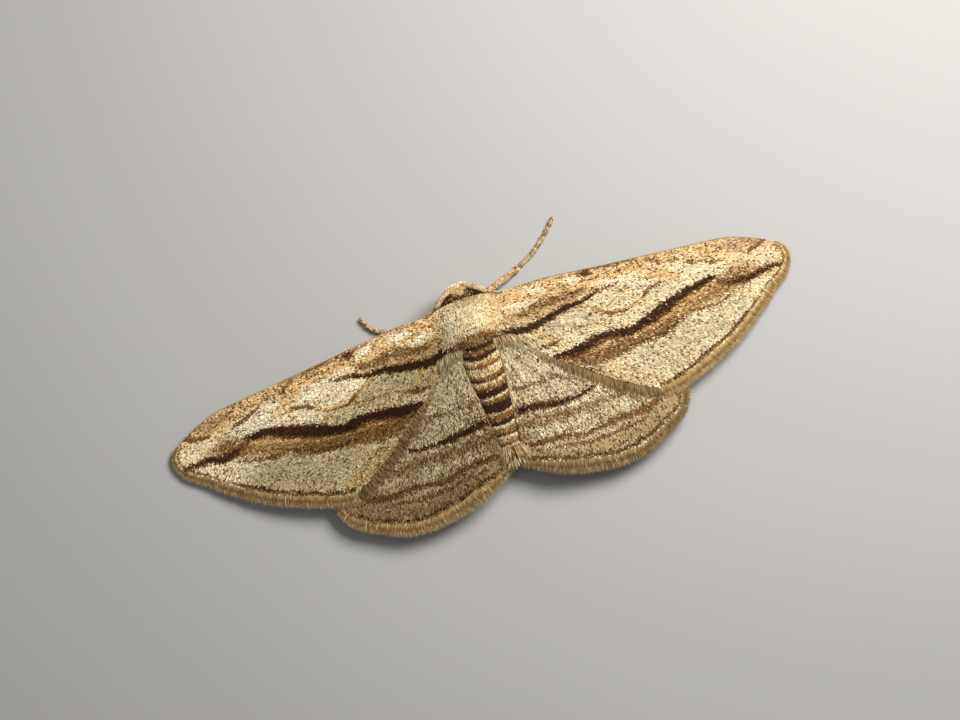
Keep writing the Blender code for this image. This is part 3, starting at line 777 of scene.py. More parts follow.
class SkinMaker:
    """Collects the shells of the skin and joins them into one mesh with one unwrap."""

    CELLS = 5     # rows and columns of the unwrap

    def __init__(self) -> None:
        """Starts with nothing."""
        self.shells: list[Shell] = []

    def cell(self, corners: Array) -> Array:
        """Moves a shell's map places into the next free cell of the unwrap."""
        index = len(self.shells)
        corner = np.array([index % self.CELLS, index // self.CELLS]) / self.CELLS
        return corner + (0.04 + 0.92 * corners) / self.CELLS

    def add_tube(self, surface: Surface, tone: Callable[[Array], Array], rows: int, sides: int) -> None:
        """Adds a shell that closes round t and has a pole at either end.

        Args:
            surface: The surface to follow.
            tone: Gives colours for places.
            rows: Rings along s.
            sides: Points in each ring.
        """
        s = np.repeat(np.linspace(0, 1, rows), sides)
        t = np.tile(np.arange(sides) / sides, rows)
        ring = surface.at(s, t)
        points = np.vstack([ring, ring[:sides].mean(axis=0), ring[-sides:].mean(axis=0)])
        faces, corners = grid_faces(rows, sides, closed=True, flip=surface.facing > 0)
        lots, places = [faces], [corners]
        around = np.arange(sides)[:, None]
        pair = np.array([1, 0]) if surface.facing > 0 else np.array([0, 1])
        for end, first, step in ((0, 0, 1 - pair), (1, (rows - 1) * sides, pair)):
            pole = np.full((sides, 2), len(ring) + end)
            lots.append(np.column_stack([first + (around + step) % sides, pole]))
            place = np.full((sides, 4, 2), float(end))
            place[:, :, 1] = (around + np.array([*step, 0.5, 0.5])) / sides
            places.append(place)
        self.shells.append(Shell(points, np.vstack(lots), tone(points), self.cell(np.vstack(places))))

    def add_wing(self, wing: "Wing", rows: int, columns: int) -> None:
        """Adds a wing as one closed sheet: an upper face, a lower face, and its rim."""
        s, t = np.repeat(np.linspace(0, 1, rows), columns), np.tile(np.linspace(0, 1, columns), rows)
        points = np.vstack([wing.face(top).at(s, t) for top in (True, False)])
        turned = wing.side is Side.RIGHT
        top, corners = grid_faces(rows, columns, closed=False, flip=not turned)
        bottom, under = grid_faces(rows, columns, closed=False, flip=turned)
        total = rows * columns
        index = np.arange(total).reshape(rows, columns)
        loop = np.concatenate([index[:-1, 0], index[-1, :-1], index[:0:-1, -1], index[0, :0:-1]])
        after = np.roll(loop, -1)
        rim = np.stack([loop, after, after + total, loop + total], axis=1)
        if turned:
            rim = rim[:, ::-1]
        rim_corners = np.column_stack([s, t])[rim % total] * (0.5, 1.0)
        # The skin carries the wing's painted light and shade too.
        tones = np.tile(wing.plan.painter.skin(*wing.plan.flat(s, t).T) * wing.shade(s, t), (2, 1))
        maps = np.concatenate([corners * (0.49, 1.0), under * (0.49, 1.0) + (0.51, 0.0), rim_corners])
        self.shells.append(Shell(points, np.vstack([top, bottom + total, rim]), tones, self.cell(maps)))

    def finish(self, name: str, material: Material) -> Object:
        """Joins the shells into one object."""
        starts = np.cumsum([0] + [len(shell.points) for shell in self.shells])
        faces = np.vstack([shell.faces + start for shell, start in zip(self.shells, starts)])
        corners = np.concatenate([shell.corners for shell in self.shells])
        points = GROUND.place(np.vstack([shell.points for shell in self.shells]))
        short = faces[:, 2] == faces[:, 3]      # the triangles round a pole
        mesh = bpy.data.meshes.new(name)
        corners_of = [face[:3 if three else 4].tolist() for face, three in zip(faces, short)]
        mesh.from_pydata(points.tolist(), [], corners_of)
        add_numbers(mesh, "tone", np.vstack([shell.tones for shell in self.shells]), "FLOAT_COLOR")
        keep = np.ones((len(faces), 4), bool)
        keep[short, 3] = False
        add_numbers(mesh, "OFBake", corners[keep], "FLOAT2", "CORNER")
        mesh.materials.append(material)
        mesh.shade_smooth()
        mesh.validate()
        return new_object(name, mesh)


# ------------ the coat


class Tuft(Enum):
    """The shapes that a coat is made of, each a closed solid one unit long."""

    SCALE = "scale"      # a spade with a square end
    HAIR = "hair"        # a long flat hair-scale
    LOCK = "lock"        # a bent, pointed hair


def tuft_shape(tuft: Tuft) -> Object:
    """Makes the helper object for one shape: its root at the origin, along +Y, its back up +Z."""
    if tuft is Tuft.SCALE:
        points = [(0.0, 0.0, 0.0), (0.46, 0.45, 0.3), (0.34, 0.96, 0.75), (-0.34, 0.96, 0.75),
                  (-0.46, 0.45, 0.3), (0.0, 0.6, 1.0)]
        faces = [(k, (k + 1) % 5, 5) for k in range(5)] + [(0, 2, 1), (0, 3, 2), (0, 4, 3)]
    elif tuft is Tuft.HAIR:
        points = [(0.0, 0.0, 0.0), (0.5, 0.55, 0.35), (0.0, 1.0, 0.6), (-0.5, 0.55, 0.35), (0.0, 0.5, 1.0)]
        faces = [(k, (k + 1) % 4, 4) for k in range(4)] + [(0, 2, 1), (0, 3, 2)]
    else:
        points = [(-0.4, 0.0, 0.0), (0.4, 0.0, 0.0), (0.0, 0.0, 0.25), (-0.5, 0.5, 0.75), (0.5, 0.5, 0.75),
                  (0.0, 0.5, 1.05), (0.0, 1.0, 0.9)]
        faces = [(0, 1, 4, 3), (1, 2, 5, 4), (2, 0, 3, 5), (3, 4, 6), (4, 5, 6), (5, 3, 6), (2, 1, 0)]
    mesh = bpy.data.meshes.new(f"shape_{tuft.value}")
    mesh.from_pydata(points, [], faces)
    add_numbers(mesh, "vane", points)
    shape = bmesh.new()
    shape.from_mesh(mesh)
    bmesh.ops.recalc_face_normals(shape, faces=shape.faces)
    shape.to_mesh(mesh)
    shape.free()
    obj = new_object(f"shape_{tuft.value}", mesh)
    obj.hide_render = True
    return obj


@dataclass
class Seats:
    """Where each piece of a coat sits, how it lies, how big it is, and its colours."""

    at: Array
    lie: Array
    up: Array
    size: Array        # width, length and rise, in millimetres
    tone: Array        # at the tip
    unwrap: Array
    # The colour at each piece's root, as a share of its tip's: painted shade where other pieces lie over the
    # root.
    root_shade: float = 0.72

    ARRAYS = ("at", "lie", "up", "size", "tone", "unwrap")

    @classmethod
    def join(cls, parts: Sequence["Seats"]) -> "Seats":
        """Puts several lots of seats together."""
        return cls(*(np.vstack([getattr(part, name) for part in parts]) for name in cls.ARRAYS),
                   parts[0].root_shade)

    def keep(self, mask: Array) -> "Seats":
        """The seats that a mask picks."""
        return Seats(*(getattr(self, name)[mask] for name in self.ARRAYS), self.root_shade)


def alike(count: int, *numbers: float) -> Array:
    """The same numbers, such as width, length and rise, for each of a number of seats."""
    return np.tile(np.array(numbers, float), (count, 1))


class Grower(Wiring):
    """The node tree that sets one solid scale or hair on every seat and makes it real mesh."""

    PATCH = 0.003     # how much of the map one scale covers
    TAKES = {"Seats": "Geometry", "Shape": "Object", "Finish": "Material", "Twist": "Vector",
             "Variety": "Float", "Patch": "Float", "Root shade": "Float", "Seed": "Int"}

    def __init__(self) -> None:
        """Builds the tree and the shapes."""
        super().__init__(geometry_tree("coat_of_scales", self.TAKES, "Coat"))
        self.shapes = {tuft: tuft_shape(tuft) for tuft in Tuft}
        self.build()

    def named(self, name: str) -> Socket:
        """Reads a named attribute."""
        read = self.node("GeometryNodeInputNamedAttribute", {"Name": name}, data_type="FLOAT_VECTOR")
        return read.outputs["Attribute"]

    def build(self) -> None:
        """Links the tree: instances on the seats, real mesh, map, colours with painted shade at the roots,
        finish.
        """
        given = self.node("NodeGroupInput", {}).outputs
        shape = self.node("GeometryNodeObjectInfo", {"Object": given["Shape"]})
        turn = self.node("FunctionNodeAxesToRotation", {0: self.named("lie"), 1: self.named("up")},
                         primary_axis="Y", secondary_axis="Z")
        least = self.maths("SCALE", {0: given["Twist"], "Scale": -1.0})
        twist = self.node("FunctionNodeRandomValue", {
            "Min": least, "Max": given["Twist"], "Seed": given["Seed"]}, data_type="FLOAT_VECTOR")
        angle = self.node("FunctionNodeEulerToRotation", {0: twist.outputs["Value"]})
        turned = self.node("FunctionNodeRotateRotation", {0: turn.outputs[0], 1: angle.outputs[0]},
                           rotation_space="LOCAL")
        ends = [self.node("ShaderNodeMath", {0: 1.0, 1: given["Variety"]}, operation=operation).outputs[0]
                for operation in ("SUBTRACT", "ADD")]
        # The random number's single-valued sockets follow the vectors' under the same names.
        spread = self.node("FunctionNodeRandomValue", {2: ends[0], 3: ends[1], "Seed": given["Seed"]},
                           data_type="FLOAT")
        size = self.maths("SCALE", {0: self.named("size"), "Scale": spread.outputs[1]})
        place = self.node("GeometryNodeInstanceOnPoints", {
            "Points": given["Seats"], "Instance": shape.outputs["Geometry"], "Rotation": turned.outputs[0],
            "Scale": size})
        real = self.node("GeometryNodeRealizeInstances", {0: place.outputs[0]})

        vane = self.named("vane")
        patch = self.maths("SCALE", {0: vane, "Scale": given["Patch"]})
        spot = self.maths("ADD", {0: patch, 1: self.named("unwrap")})
        mapped = self.node("GeometryNodeStoreNamedAttribute", {
            "Geometry": real.outputs[0], "Name": "OFBake", "Value": spot},
            data_type="FLOAT2", domain="CORNER")
        along = self.node("ShaderNodeSeparateXYZ", {0: vane}).outputs["Y"]
        # Each piece darkens from its tip to a painted shade at its root, where other pieces lie over it.
        shade = self.node("ShaderNodeMapRange", {"Value": along, "To Min": given["Root shade"]}).outputs[0]
        tone = self.maths("SCALE", {0: self.named("tip_tone"), "Scale": shade})
        toned = self.node("GeometryNodeStoreNamedAttribute", {
            "Geometry": mapped.outputs[0], "Name": "tone", "Value": tone}, data_type="FLOAT_COLOR")
        self.end(toned.outputs[0], given["Finish"])

    def grow(self, name: str, seats: Seats, tuft: Tuft, material: Material, twist: Triple, variety: float,
             seed: int) -> Object:
        """Makes one coat piece.

        Args:
            name: The piece's name.
            seats: Where its scales sit.
            tuft: Their shape.
            material: Their finish.
            twist: The most that one may pitch, roll and yaw at random, in degrees.
            variety: How far they differ in size, as a share.
            seed: The seed for both.

        Returns:
            The finished object, in plain mesh.
        """
        mesh = bpy.data.meshes.new(f"{name}_seats")
        mesh.from_pydata(GROUND.place(seats.at).tolist(), [], [])
        numbers = {"lie": seats.lie, "up": seats.up, "size": seats.size * GROUND.unit, "tip_tone": seats.tone,
                   "unwrap": np.column_stack([seats.unwrap, np.zeros(len(seats.at))])}
        for key, values in numbers.items():
            add_numbers(mesh, key, values)
        obj = new_object(name, mesh)
        made_real(obj, self.tree, {
            "Shape": self.shapes[tuft], "Finish": material, "Variety": variety, "Patch": self.PATCH,
            "Root shade": seats.root_shade, "Seed": seed, "Twist": [math.radians(angle) for angle in twist]})
        left = obj.data.attributes
        for extra in (*numbers, "vane"):
            if extra in left:
                left.remove(left[extra])
        triangles = sum(len(polygon.vertices) - 2 for polygon in obj.data.polygons)
        log.info("%s: %d scales, %d triangles", name, len(seats.at), triangles)
        return obj

    def tidy_away(self) -> None:
        """Removes the helper shapes."""
        for obj in self.shapes.values():
            bpy.data.objects.remove(obj)


# ------------ finishes


class Nodes(Wiring):
    """A material's node tree, with short words for what its finishes share."""

    def __init__(self, name: str) -> None:
        """Makes a material with one Principled shader."""
        self.material = bpy.data.materials.new(name)
        self.material.use_nodes = True
        super().__init__(self.material.node_tree)
        self.shader = next(node for node in self.tree.nodes if node.type == "BSDF_PRINCIPLED")

    def noise(self, scale: float, detail: float) -> Socket:
        """A noise in object coordinates, with its scale for one metre."""
        place = self.node("ShaderNodeTexCoord", {}).outputs["Object"]
        noise = self.node("ShaderNodeTexNoise", {"Vector": place, "Scale": scale, "Detail": detail})
        return noise.outputs["Fac"]

    def clouds(self, scale: float, detail: float, low: float, high: float) -> Socket:
        """A noise whose middle part is spread from low to high."""
        return self.node("ShaderNodeMapRange", {
            "Value": self.noise(scale, detail), "From Min": 0.3, "From Max": 0.7, "To Min": low,
            "To Max": high}).outputs["Result"]

    def toned(self, scale: float, low: float, high: float) -> Socket:
        """The mesh's own colours, made lighter and darker by fine clouds."""
        tone = self.node("ShaderNodeAttribute", {}, attribute_name="tone").outputs["Color"]
        return self.maths("SCALE", {0: tone, "Scale": self.clouds(scale, 3.0, low, high)})

    def bump(self, scale: float, detail: float, strength: float, depth: float) -> Socket:
        """A normal roughened by noise, with its depth in metres."""
        height = self.noise(scale, detail)
        bump = self.node("ShaderNodeBump", {"Height": height, "Strength": strength, "Distance": depth})
        return bump.outputs["Normal"]

    def ramp(self, place: Socket, *colours: Triple) -> Socket:
        """A colour between two, by a number from 0 to 1."""
        ramp = self.node("ShaderNodeValToRGB", {"Fac": place})
        for stop, colour in zip(ramp.color_ramp.elements, colours):
            stop.color = (*colour, 1)
        return ramp.outputs["Color"]

    def finish(self, **feeds: object) -> Material:
        """Feeds the shader's inputs, with _ for each space in their names, and hands over the material."""
        self.feed(self.shader, {name.replace("_", " "): value for name, value in feeds.items()})
        return self.material


@dataclass(frozen=True)
class CoatFinish:
    """Scales or hairs that carry their own colours, with fine ridges that break up the light."""

    name: str
    roughness: float
    sheen: float
    ridges: float = 45000.0      # their scale for one metre
    depth: float = 3e-6

    def make(self) -> Material:
        """Builds the material."""
        nodes = Nodes(self.name)
        rough = nodes.clouds(self.ridges / 4, 1.0, self.roughness - 0.06, self.roughness + 0.06)
        return nodes.finish(Base_Color=nodes.toned(self.ridges, 0.86, 1.14), Roughness=rough,
                            Sheen_Weight=self.sheen, Sheen_Roughness=0.5, Specular_IOR_Level=0.04,
                            Normal=nodes.bump(self.ridges, 2.0, 0.5, self.depth))


@dataclass(frozen=True)
class SkinFinish:
    """The horny skin under the coat, in the coat's own colours."""

    name: str = "skin_cuticle"

    def make(self) -> Material:
        """Builds the material."""
        nodes = Nodes(self.name)
        return nodes.finish(Base_Color=nodes.toned(14000.0, 0.8, 1.1),
                            Roughness=nodes.clouds(9000.0, 2.0, 0.5, 0.7),
                            Normal=nodes.bump(25000.0, 3.0, 0.4, 4e-6))


@dataclass(frozen=True)
class HornFinish:
    """Horn between two colours in soft clouds, with an uneven gloss."""

    name: str
    dark: Triple
    light: Triple
    cloud: float       # the clouds' scale for one metre
    gloss: Triple      # the scale of its unevenness, and the least and the most roughness
    coat: float = 0.0

    def make(self) -> Material:
        """Builds the material."""
        nodes = Nodes(self.name)
        scale, low, high = self.gloss
        colour = nodes.ramp(nodes.clouds(self.cloud, 2.0, 0.0, 1.0), self.dark, self.light)
        return nodes.finish(Base_Color=colour, Roughness=nodes.clouds(scale, 1.0, low, high),
                            Coat_Weight=self.coat, Coat_Roughness=0.18)


EYE_FACETS = HornFinish("eye_facets", (0.022, 0.013, 0.007), (0.11, 0.07, 0.034), 3500.0,
                        (30000.0, 0.22, 0.34), 0.4)
CLAW_HORN = HornFinish("claw_horn", (0.03, 0.014, 0.006), (0.12, 0.06, 0.026), 9000.0, (20000.0, 0.28, 0.42))


@dataclass(frozen=True)
class FloorFinish:
    """A plain pale board."""

    name: str = "pale_board"

    def make(self) -> Material:
        """Builds the material."""
        nodes = Nodes(self.name)
        colour = nodes.ramp(nodes.noise(60.0, 3.0), (0.398, 0.4, 0.402), (0.416, 0.418, 0.42))
        return nodes.finish(Base_Color=colour, Roughness=0.9, Specular_IOR_Level=0.2)


# ------------ the wings

FOREWING = WingPlan(
    kind="forewing",
    costa=((1.0, 0.62), (2.2, 0.86), (4.0, 0.84), (7.0, 0.5), (10.0, 0.2), (12.4, -0.05), (13.5, -0.37),
        (14.2, -0.7), (14.75, -1.1)),
    inner=((1.0, -0.8), (1.75, -1.25), (2.65, -2.3), (3.1, -2.74), (3.86, -3.32), (4.5, -3.8), (5.25, -4.42),
        (6.07, -4.98), (6.8, -5.42), (7.5, -5.68)),
    outer=((14.75, -1.1), (15.0, -1.42), (15.04, -1.74), (14.92, -2.04), (14.66, -2.32), (14.3, -2.56),
        (13.9, -2.78), (13.2, -3.32), (12.0, -4.12), (11.0, -4.64), (10.0, -5.03), (9.0, -5.38), (8.2, -5.62),
        (7.5, -5.68)),
    veins=(((1.4, 0.35), (4.0, 0.35), (7.0, 0.15), (8.6, 0.25)), ((1.4, 0.05), (4.5, -0.2), (7.6, -0.45),
        (10.0, 0.12)), ((7.6, -0.45), (9.6, -0.4), (11.6, -0.06)), ((7.6, -0.5), (10.0, -0.75),
        (12.9, -0.35)), ((8.0, -0.9), (11.0, -1.2), (14.2, -1.15)), ((8.2, -1.3), (11.2, -1.75),
        (14.4, -2.15)), ((8.0, -1.9), (10.6, -2.4), (13.4, -3.1)), ((7.6, -2.3), (9.8, -3.2), (12.1, -4.05)),
        ((7.2, -2.6), (9.0, -3.7), (10.6, -4.75)), ((6.6, -2.8), (7.8, -4.0), (9.0, -5.3)), ((1.5, -0.45),
        (4.5, -1.6), (7.2, -2.6)), ((1.4, -0.75), (3.4, -2.4), (5.4, -4.0), (7.3, -5.4))),
    lowered=0.2,
    painter=Painter(WING_MOTTLE, FOREWING_STREAKS, seed=21),
    fringe=(0.16, 0.34, 0.5, 0.56, 0.6, 0.62, 0.64, 0.66, 0.67, 0.68, 0.68, 0.66, 0.64),
)

HINDWING = WingPlan(
    kind="hindwing",
    costa=((1.0, -0.8), (3.0, -1.2), (5.2, -2.35), (7.1, -3.9), (8.2, -5.3), (8.36, -6.05)),
    inner=((0.97, -1.05), (0.96, -1.7), (0.9, -2.4), (0.72, -4.2), (0.62, -5.2), (0.51, -6.0), (0.28, -6.85)),
    outer=((8.36, -6.05), (8.24, -6.5), (7.8, -6.98), (7.0, -7.4), (6.2, -7.74), (5.6, -7.94), (4.5, -7.95),
        (3.5, -7.78), (2.45, -7.52), (1.45, -7.22), (0.8, -7.0), (0.28, -6.85)),
    veins=(((1.2, -1.1), (4.0, -2.6), (6.8, -4.6), (8.3, -6.3)), ((1.2, -1.3), (3.4, -3.0), (5.8, -5.2),
        (7.3, -7.1)), ((3.4, -3.1), (4.8, -5.2), (6.0, -7.5)), ((3.0, -3.1), (4.0, -5.4), (4.9, -7.8)),
        ((1.1, -1.4), (2.4, -3.4), (3.2, -5.6), (3.8, -7.7)), ((1.0, -1.5), (1.7, -3.8), (2.2, -5.6),
        (2.6, -7.4)), ((0.9, -1.6), (1.1, -4.0), (1.4, -5.8), (1.6, -7.1))),
    lowered=0.34,
    painter=Painter(REAR_MOTTLE, HINDWING_STREAKS, seed=43, dots=0.09),
    fringe=(0.45, 0.58, 0.64, 0.68, 0.7, 0.74, 0.76, 0.76, 0.6, 0.34),
)


def margin_line(plan: WingPlan, hue: Hue, strength: float, width: float, inset: float) -> Streak:
    """A line that runs along the outer margin, just inside the fringe, from well behind the apex."""
    edge = even_line(plan.outer, np.linspace(0.42 if plan.kind == "forewing" else 0.12, 1, 20))
    run = unit_rows(np.gradient(edge, axis=0))
    inside = edge + inset * np.column_stack([run[:, 1], -run[:, 0]])
    return Streak(hue, strength, tuple((x, y, width) for x, y in inside), 0.4)


@dataclass(frozen=True)
class WingLook:
    """How one wing's colours differ from its plan's: bolder streaks, and painted light and shade."""

    bold: float = 1.0                  # a factor on the streaks' width
    vivid: float = 1.0                 # a factor on their strength
    # near and far are factors of painted light and shade on the colours of the wing's first part and of the
    # rest; fringe is painted shade on the fringe where it is below 1.
    near: Triple = (1.0, 1.0, 1.0)     # a factor on the first part's colours
    far: Triple = (1.0, 1.0, 1.0)      # and on the rest's
    fringe: float = 1.0                # a factor on the fringe's brightness
    start: float = 0.34                # the share of the way where the rest starts

    def shade(self, share: Array) -> Array:
        """The factor of painted light and shade on the colours at each share of the way back over the wing.
        """
        near, far = np.array(self.near), np.array(self.far)
        return near + ease(share, self.start, self.start + 0.18)[:, None] * (far - near)


@dataclass
class Wing:
    """The coat of one wing: scales above and below, hair at its root, and its fringe."""

    plan: WingPlan
    side: Side
    look: WingLook = WingLook()
    density: float = 350.0         # scales on a square millimetre, above
    under_density: float = 95.0
    scale: Triple = (0.074, 0.145, 0.03)
    under_scale: Triple = (0.13, 0.2, 0.035)
    seed: int = field(init=False)

    def __post_init__(self) -> None:
        """Gives each wing a seed of its own."""
        self.seed = 100 * (self.plan.kind == "hindwing") + 10 * (self.side is Side.LEFT) + 7

    @property
    def name(self) -> str:
        """The wing's name in piece and node names."""
        return f"{self.plan.kind}_{self.side.word}"

    @property
    def front(self) -> bool:
        """Whether it is a forewing."""
        return self.plan.kind == "forewing"

    def face(self, top: bool = True) -> Membrane:
        """One of its two faces."""
        return Membrane(self.plan, self.side, top)

    def shade(self, s: Array, t: Array) -> Array:
        """The factor of painted light and shade on the colours: it changes across a forewing, and along a
        hindwing.
        """
        return self.look.shade(t if self.front else s)

    def painter(self) -> Painter:
        """The wing's colours, with its margin line."""
        streaks = (*self.plan.painter.streaks, margin_line(self.plan, BROWN, 0.8, 0.13, 0.17),
                   margin_line(self.plan, CHOCOLATE, 0.8, 0.07, 0.16))
        look = self.look
        return replace(self.plan.painter, streaks=streaks, bold=look.bold, vivid=look.vivid, seed=self.seed)

    def hidden(self, x: Array, y: Array, top: bool) -> Array:
        """Whether the other wing of this side covers each place, well clear of its edge."""
        if top and not self.front:
            edge = np.array(FOREWING.inner + FOREWING.outer[-2::-1])
            return y > np.interp(x, edge[:, 0], edge[:, 1]) + 0.6
        if not top and self.front:
            edge = np.array(HINDWING.costa)
            return (x < 8.0) & (y < np.interp(x, edge[:, 0], edge[:, 1]) - 0.6)
        return np.zeros(len(x), bool)

    def scale_seats(self, top: bool) -> Seats:
        """Seats for the flat scales of one face."""
        face = self.face(top)
        s, t = face.sow(self.density if top else self.under_density, self.seed + top)
        seen = ~self.hidden(*self.plan.flat(s, t).T, top)
        s, t = s[seen], 0.01 + 0.99 * t[seen]
        along, across = face.axes(s, t)
        up = face.facing * unit_rows(np.cross(along, across))
        out = face.rim(t, 0.0)[1]
        near = ease(s, 0.86, 1.0)[:, None]
        lie = unit_rows(unit_rows(along) * (1 - near) + out * near + 0.1 * up)
        reach = np.linalg.norm(along, axis=1).mean()
        under = Painter(UNDER_MOTTLE, self.under_streaks(), self.look.bold, seed=self.seed + 3)
        painter = self.painter() if top else under
        tone = painter.scales(*self.plan.flat(s, t).T, s * reach, t * 5.0)
        # The upper scales carry the wing's painted light and shade.
        if top:
            tone *= self.shade(s, t)
        size = alike(len(s), *(self.scale if top else self.under_scale))
        size[:, :2] *= 0.65 + 0.35 * ease(t, 0.0, 0.06)[:, None]
        rng = np.random.default_rng(self.seed + 5)
        proud = 0.01 * (tone.mean(axis=1) < 0.15) + rng.uniform(0, 0.01, len(s))
        return Seats(face.at(s, t) + proud[:, None] * up, lie, up, size, tone, map_places(s, t))

    def under_streaks(self) -> tuple[Streak, ...]:
        """The fainter markings below: the streaks show through at less than half their strength."""
        faint = tuple(Streak(streak.hue, streak.strength * 0.45, streak.knots, 0.7)
                      for streak in self.plan.painter.streaks if streak.hue in (CHOCOLATE, BROWN))
        return (*faint, margin_line(self.plan, BROWN, 0.6, 0.12, 0.17))

    def fringe_lot(self, count_per_mm: float, inset: float, length: float, width: float, rise: float,
                   tone: Triple, seed: int) -> Seats:
        """One rank of the fringe along the outer margin.

        Args:
            count_per_mm: How many hairs stand on a millimetre.
            inset: How far inside the margin they are rooted.
            length: How far they reach past it, as a share of the fringe's width.
            width: How wide each is, in millimetres.
            rise: How high their roots lie over the membrane's upper face.
            tone: Their colour.
            seed: The seed for their places and shades.

        Returns:
            The seats.
        """
        rng = np.random.default_rng(self.seed * 7 + seed)
        face = self.face()
        edge = even_line(self.plan.outer, np.linspace(0, 1, 60))
        count = int(np.linalg.norm(np.diff(edge, axis=0), axis=1).sum() * count_per_mm)
        u = (np.arange(count) + rng.uniform(0, 1, count)) / count
        at, out = face.rim(u, inset)
        at += out * rng.uniform(-0.03, 0.03, (count, 1))
        at[:, 2] += rise
        full = np.ones(count)
        up = face.up(full, u)
        grain = Grain(self.seed + seed)
        fan = 0.05 * (grain.at(u * 60, full) - 0.5) + rng.normal(0, 0.045, count)
        lie = unit_rows(out + fan[:, None] * np.cross(up, out) - 0.05 * up)
        hair = np.interp(u, np.linspace(0, 1, len(self.plan.fringe)), self.plan.fringe) * length + inset
        hair *= 1 + rng.normal(0, 0.035, count)
        size = np.column_stack([np.full(count, width), hair, np.full(count, 0.03)])
        # The side's factor on the fringe: painted shade on the left forewing's fringe, a brighter fringe on
        # the left hindwing.
        colours = np.array(tone) * rng.uniform(0.6, 1.4, (count, 1)) * self.look.fringe
        colours[rng.random(count) < 0.03] = np.array(CREAM.value) * 0.85 * self.look.fringe
        return Seats(at, lie, up, size, colours, map_places(full, u), 0.95)

    def fringe_seats(self) -> Seats:
        """Seats for the whole fringe: long pale-tipped hairs under short brown ones."""
        shade = 1.0 if self.front else 0.66
        ranks = ((120, 0.03, 1.0, 0.042, -0.03, (0.54, 0.4, 0.205)),
                 (110, 0.05, 0.88, 0.046, -0.008, (0.37, 0.245, 0.108)),
                 (110, 0.07, 0.64, 0.048, 0.01, (0.245, 0.145, 0.06)),
                 (110, 0.09, 0.46, 0.052, 0.022, (0.44, 0.3, 0.13)),
                 (90, 0.1, 0.1, 0.046, 0.032, (0.22, 0.125, 0.048)))
        return Seats.join([self.fringe_lot(*rank[:5], tuple(shade * part for part in rank[5]), k)
                           for k, rank in enumerate(ranks)])

    def inner_seats(self) -> Seats:
        """Seats for the hair along the inner margin: short and pale at the root, long at the hind corner."""
        rng = np.random.default_rng(self.seed + 61)
        face = self.face()
        count, start = (3800, 0.2) if self.front else (1100, 0.0)
        u = start + (1 - start) * (np.arange(count) + rng.uniform(0, 1, count)) / count
        rank = rng.random(count)
        at, out = face.rim(u, 0.0, inner=True)
        at -= out * (0.02 + 0.14 * rank[:, None])
        at[:, 2] += -0.03 + 0.05 * rank
        full = np.ones(count)
        along = unit_rows(face.axes(u, full)[0])
        up = face.up(u, full)
        if self.front:
            lie = out + 0.25 * along - (0.34 - 0.15 * rank)[:, None] * up
            long = (0.28 + 0.66 * ease(u, 0.22, 0.55)) * (1 - 0.45 * rank)
            share = 0.45 + 0.55 * ease(u, 0.2, 0.45)
            wide, rise = 0.04, 0.03
        else:
            lie = (0.25 - 0.5 * ease(u, 0.75, 1.0))[:, None] * out + along - 0.05 * up
            long = 0.38 + 0.16 * ease(u, 0.75, 1.0)
            share = ease(u, 0.5, 0.75)
            wide, rise = 0.026, 0.02
        lie = unit_rows(lie + rng.normal(0, 0.09, (count, 3)))
        size = alike(count, wide, 1.0, rise)
        size[:, 1] = long * rng.uniform(0.75, 1.15, count)
        pale, dark = np.array(CREAM.value), np.array((0.29, 0.19, 0.088))
        tone = (pale * (1 - share[:, None]) + dark * share[:, None]) * rng.uniform(0.45, 1.5, (count, 1))
        # The hair takes the painted light and shade of the wing's far part.
        return Seats(at, lie, up, size, tone * self.look.far, map_places(u, full), 0.9)

    def root_seats(self) -> Seats:
        """Seats for the long pale hair-scales that spread back from the wing's root."""
        face = self.face()
        density, reach = (60.0, 0.12) if self.front else (130.0, 0.5)
        s, t = face.sow(density, self.seed + 83, s_span=(0.0, reach))
        x, y = self.plan.flat(s, t).T
        rng = np.random.default_rng(self.seed + 84)
        seen = ~self.hidden(x, y, True)
        if not self.front:
            seen &= rng.random(len(s)) < 1.2 - 1.2 * ease(-y + 0.35 * x, 2.0, 4.2)
        s, t, x, y = s[seen], t[seen], x[seen], y[seen]
        along, across = face.axes(s, t)
        up = face.facing * unit_rows(np.cross(along, across))
        lie = unit_rows(unit_rows(along) + 0.05 * up + rng.normal(0, 0.05, (len(s), 3)))
        if self.front:
            tone = self.painter().scales(x + 0.2, y - 0.08, s * 9.0, t * 5.0)
            size = (0.045, 0.32, 0.03)
        else:
            lines = 0.5 * rng.random(len(s)) + Grain(self.seed).at(s * 5.0, t * 55.0)
            # With the painted light and shade of the hindwing's near part.
            tone = ROOT_MOTTLE.pick(lines) * rng.uniform(0.75, 1.15, (len(s), 1)) * self.look.near
            size = (0.034, 0.46, 0.026)
        return Seats(face.at(s, t), lie, up, alike(len(s), *size), tone, map_places(s, t), 0.85)

    def saddle_seats(self) -> Seats:
        """Seats for the hair that runs from the rear of the forewing's root over the hindwing."""
        rng = np.random.default_rng(self.seed + 91)
        count = 1100
        u, v = rng.random(count), rng.random(count)
        x, y = 0.8 + u, -0.74 - 0.4 * u - 0.5 * v
        side = self.side.value
        at = np.column_stack([x * side, y, wing_height(x, y) - self.plan.lowered + 0.12 - 0.32 * v])
        lie = np.column_stack([(0.55 * u - 0.08) * side, np.full(count, -1.0), np.full(count, -0.16)])
        lie = unit_rows(lie + rng.normal(0, 0.05, (count, 3)))
        up = alike(count, 0.0, 0.15, 1.0)
        # With the painted light and shade of the forewing's far part.
        tone = SADDLE_MOTTLE.pick(rng.random(count)) * rng.uniform(0.75, 1.15, (count, 1)) * self.look.far
        unwrap = np.column_stack([0.02 + 0.1 * v, 0.75 + 0.2 * u])
        return Seats(at, lie, up, alike(count, 0.034, 0.62, 0.028), tone, unwrap, 0.85)

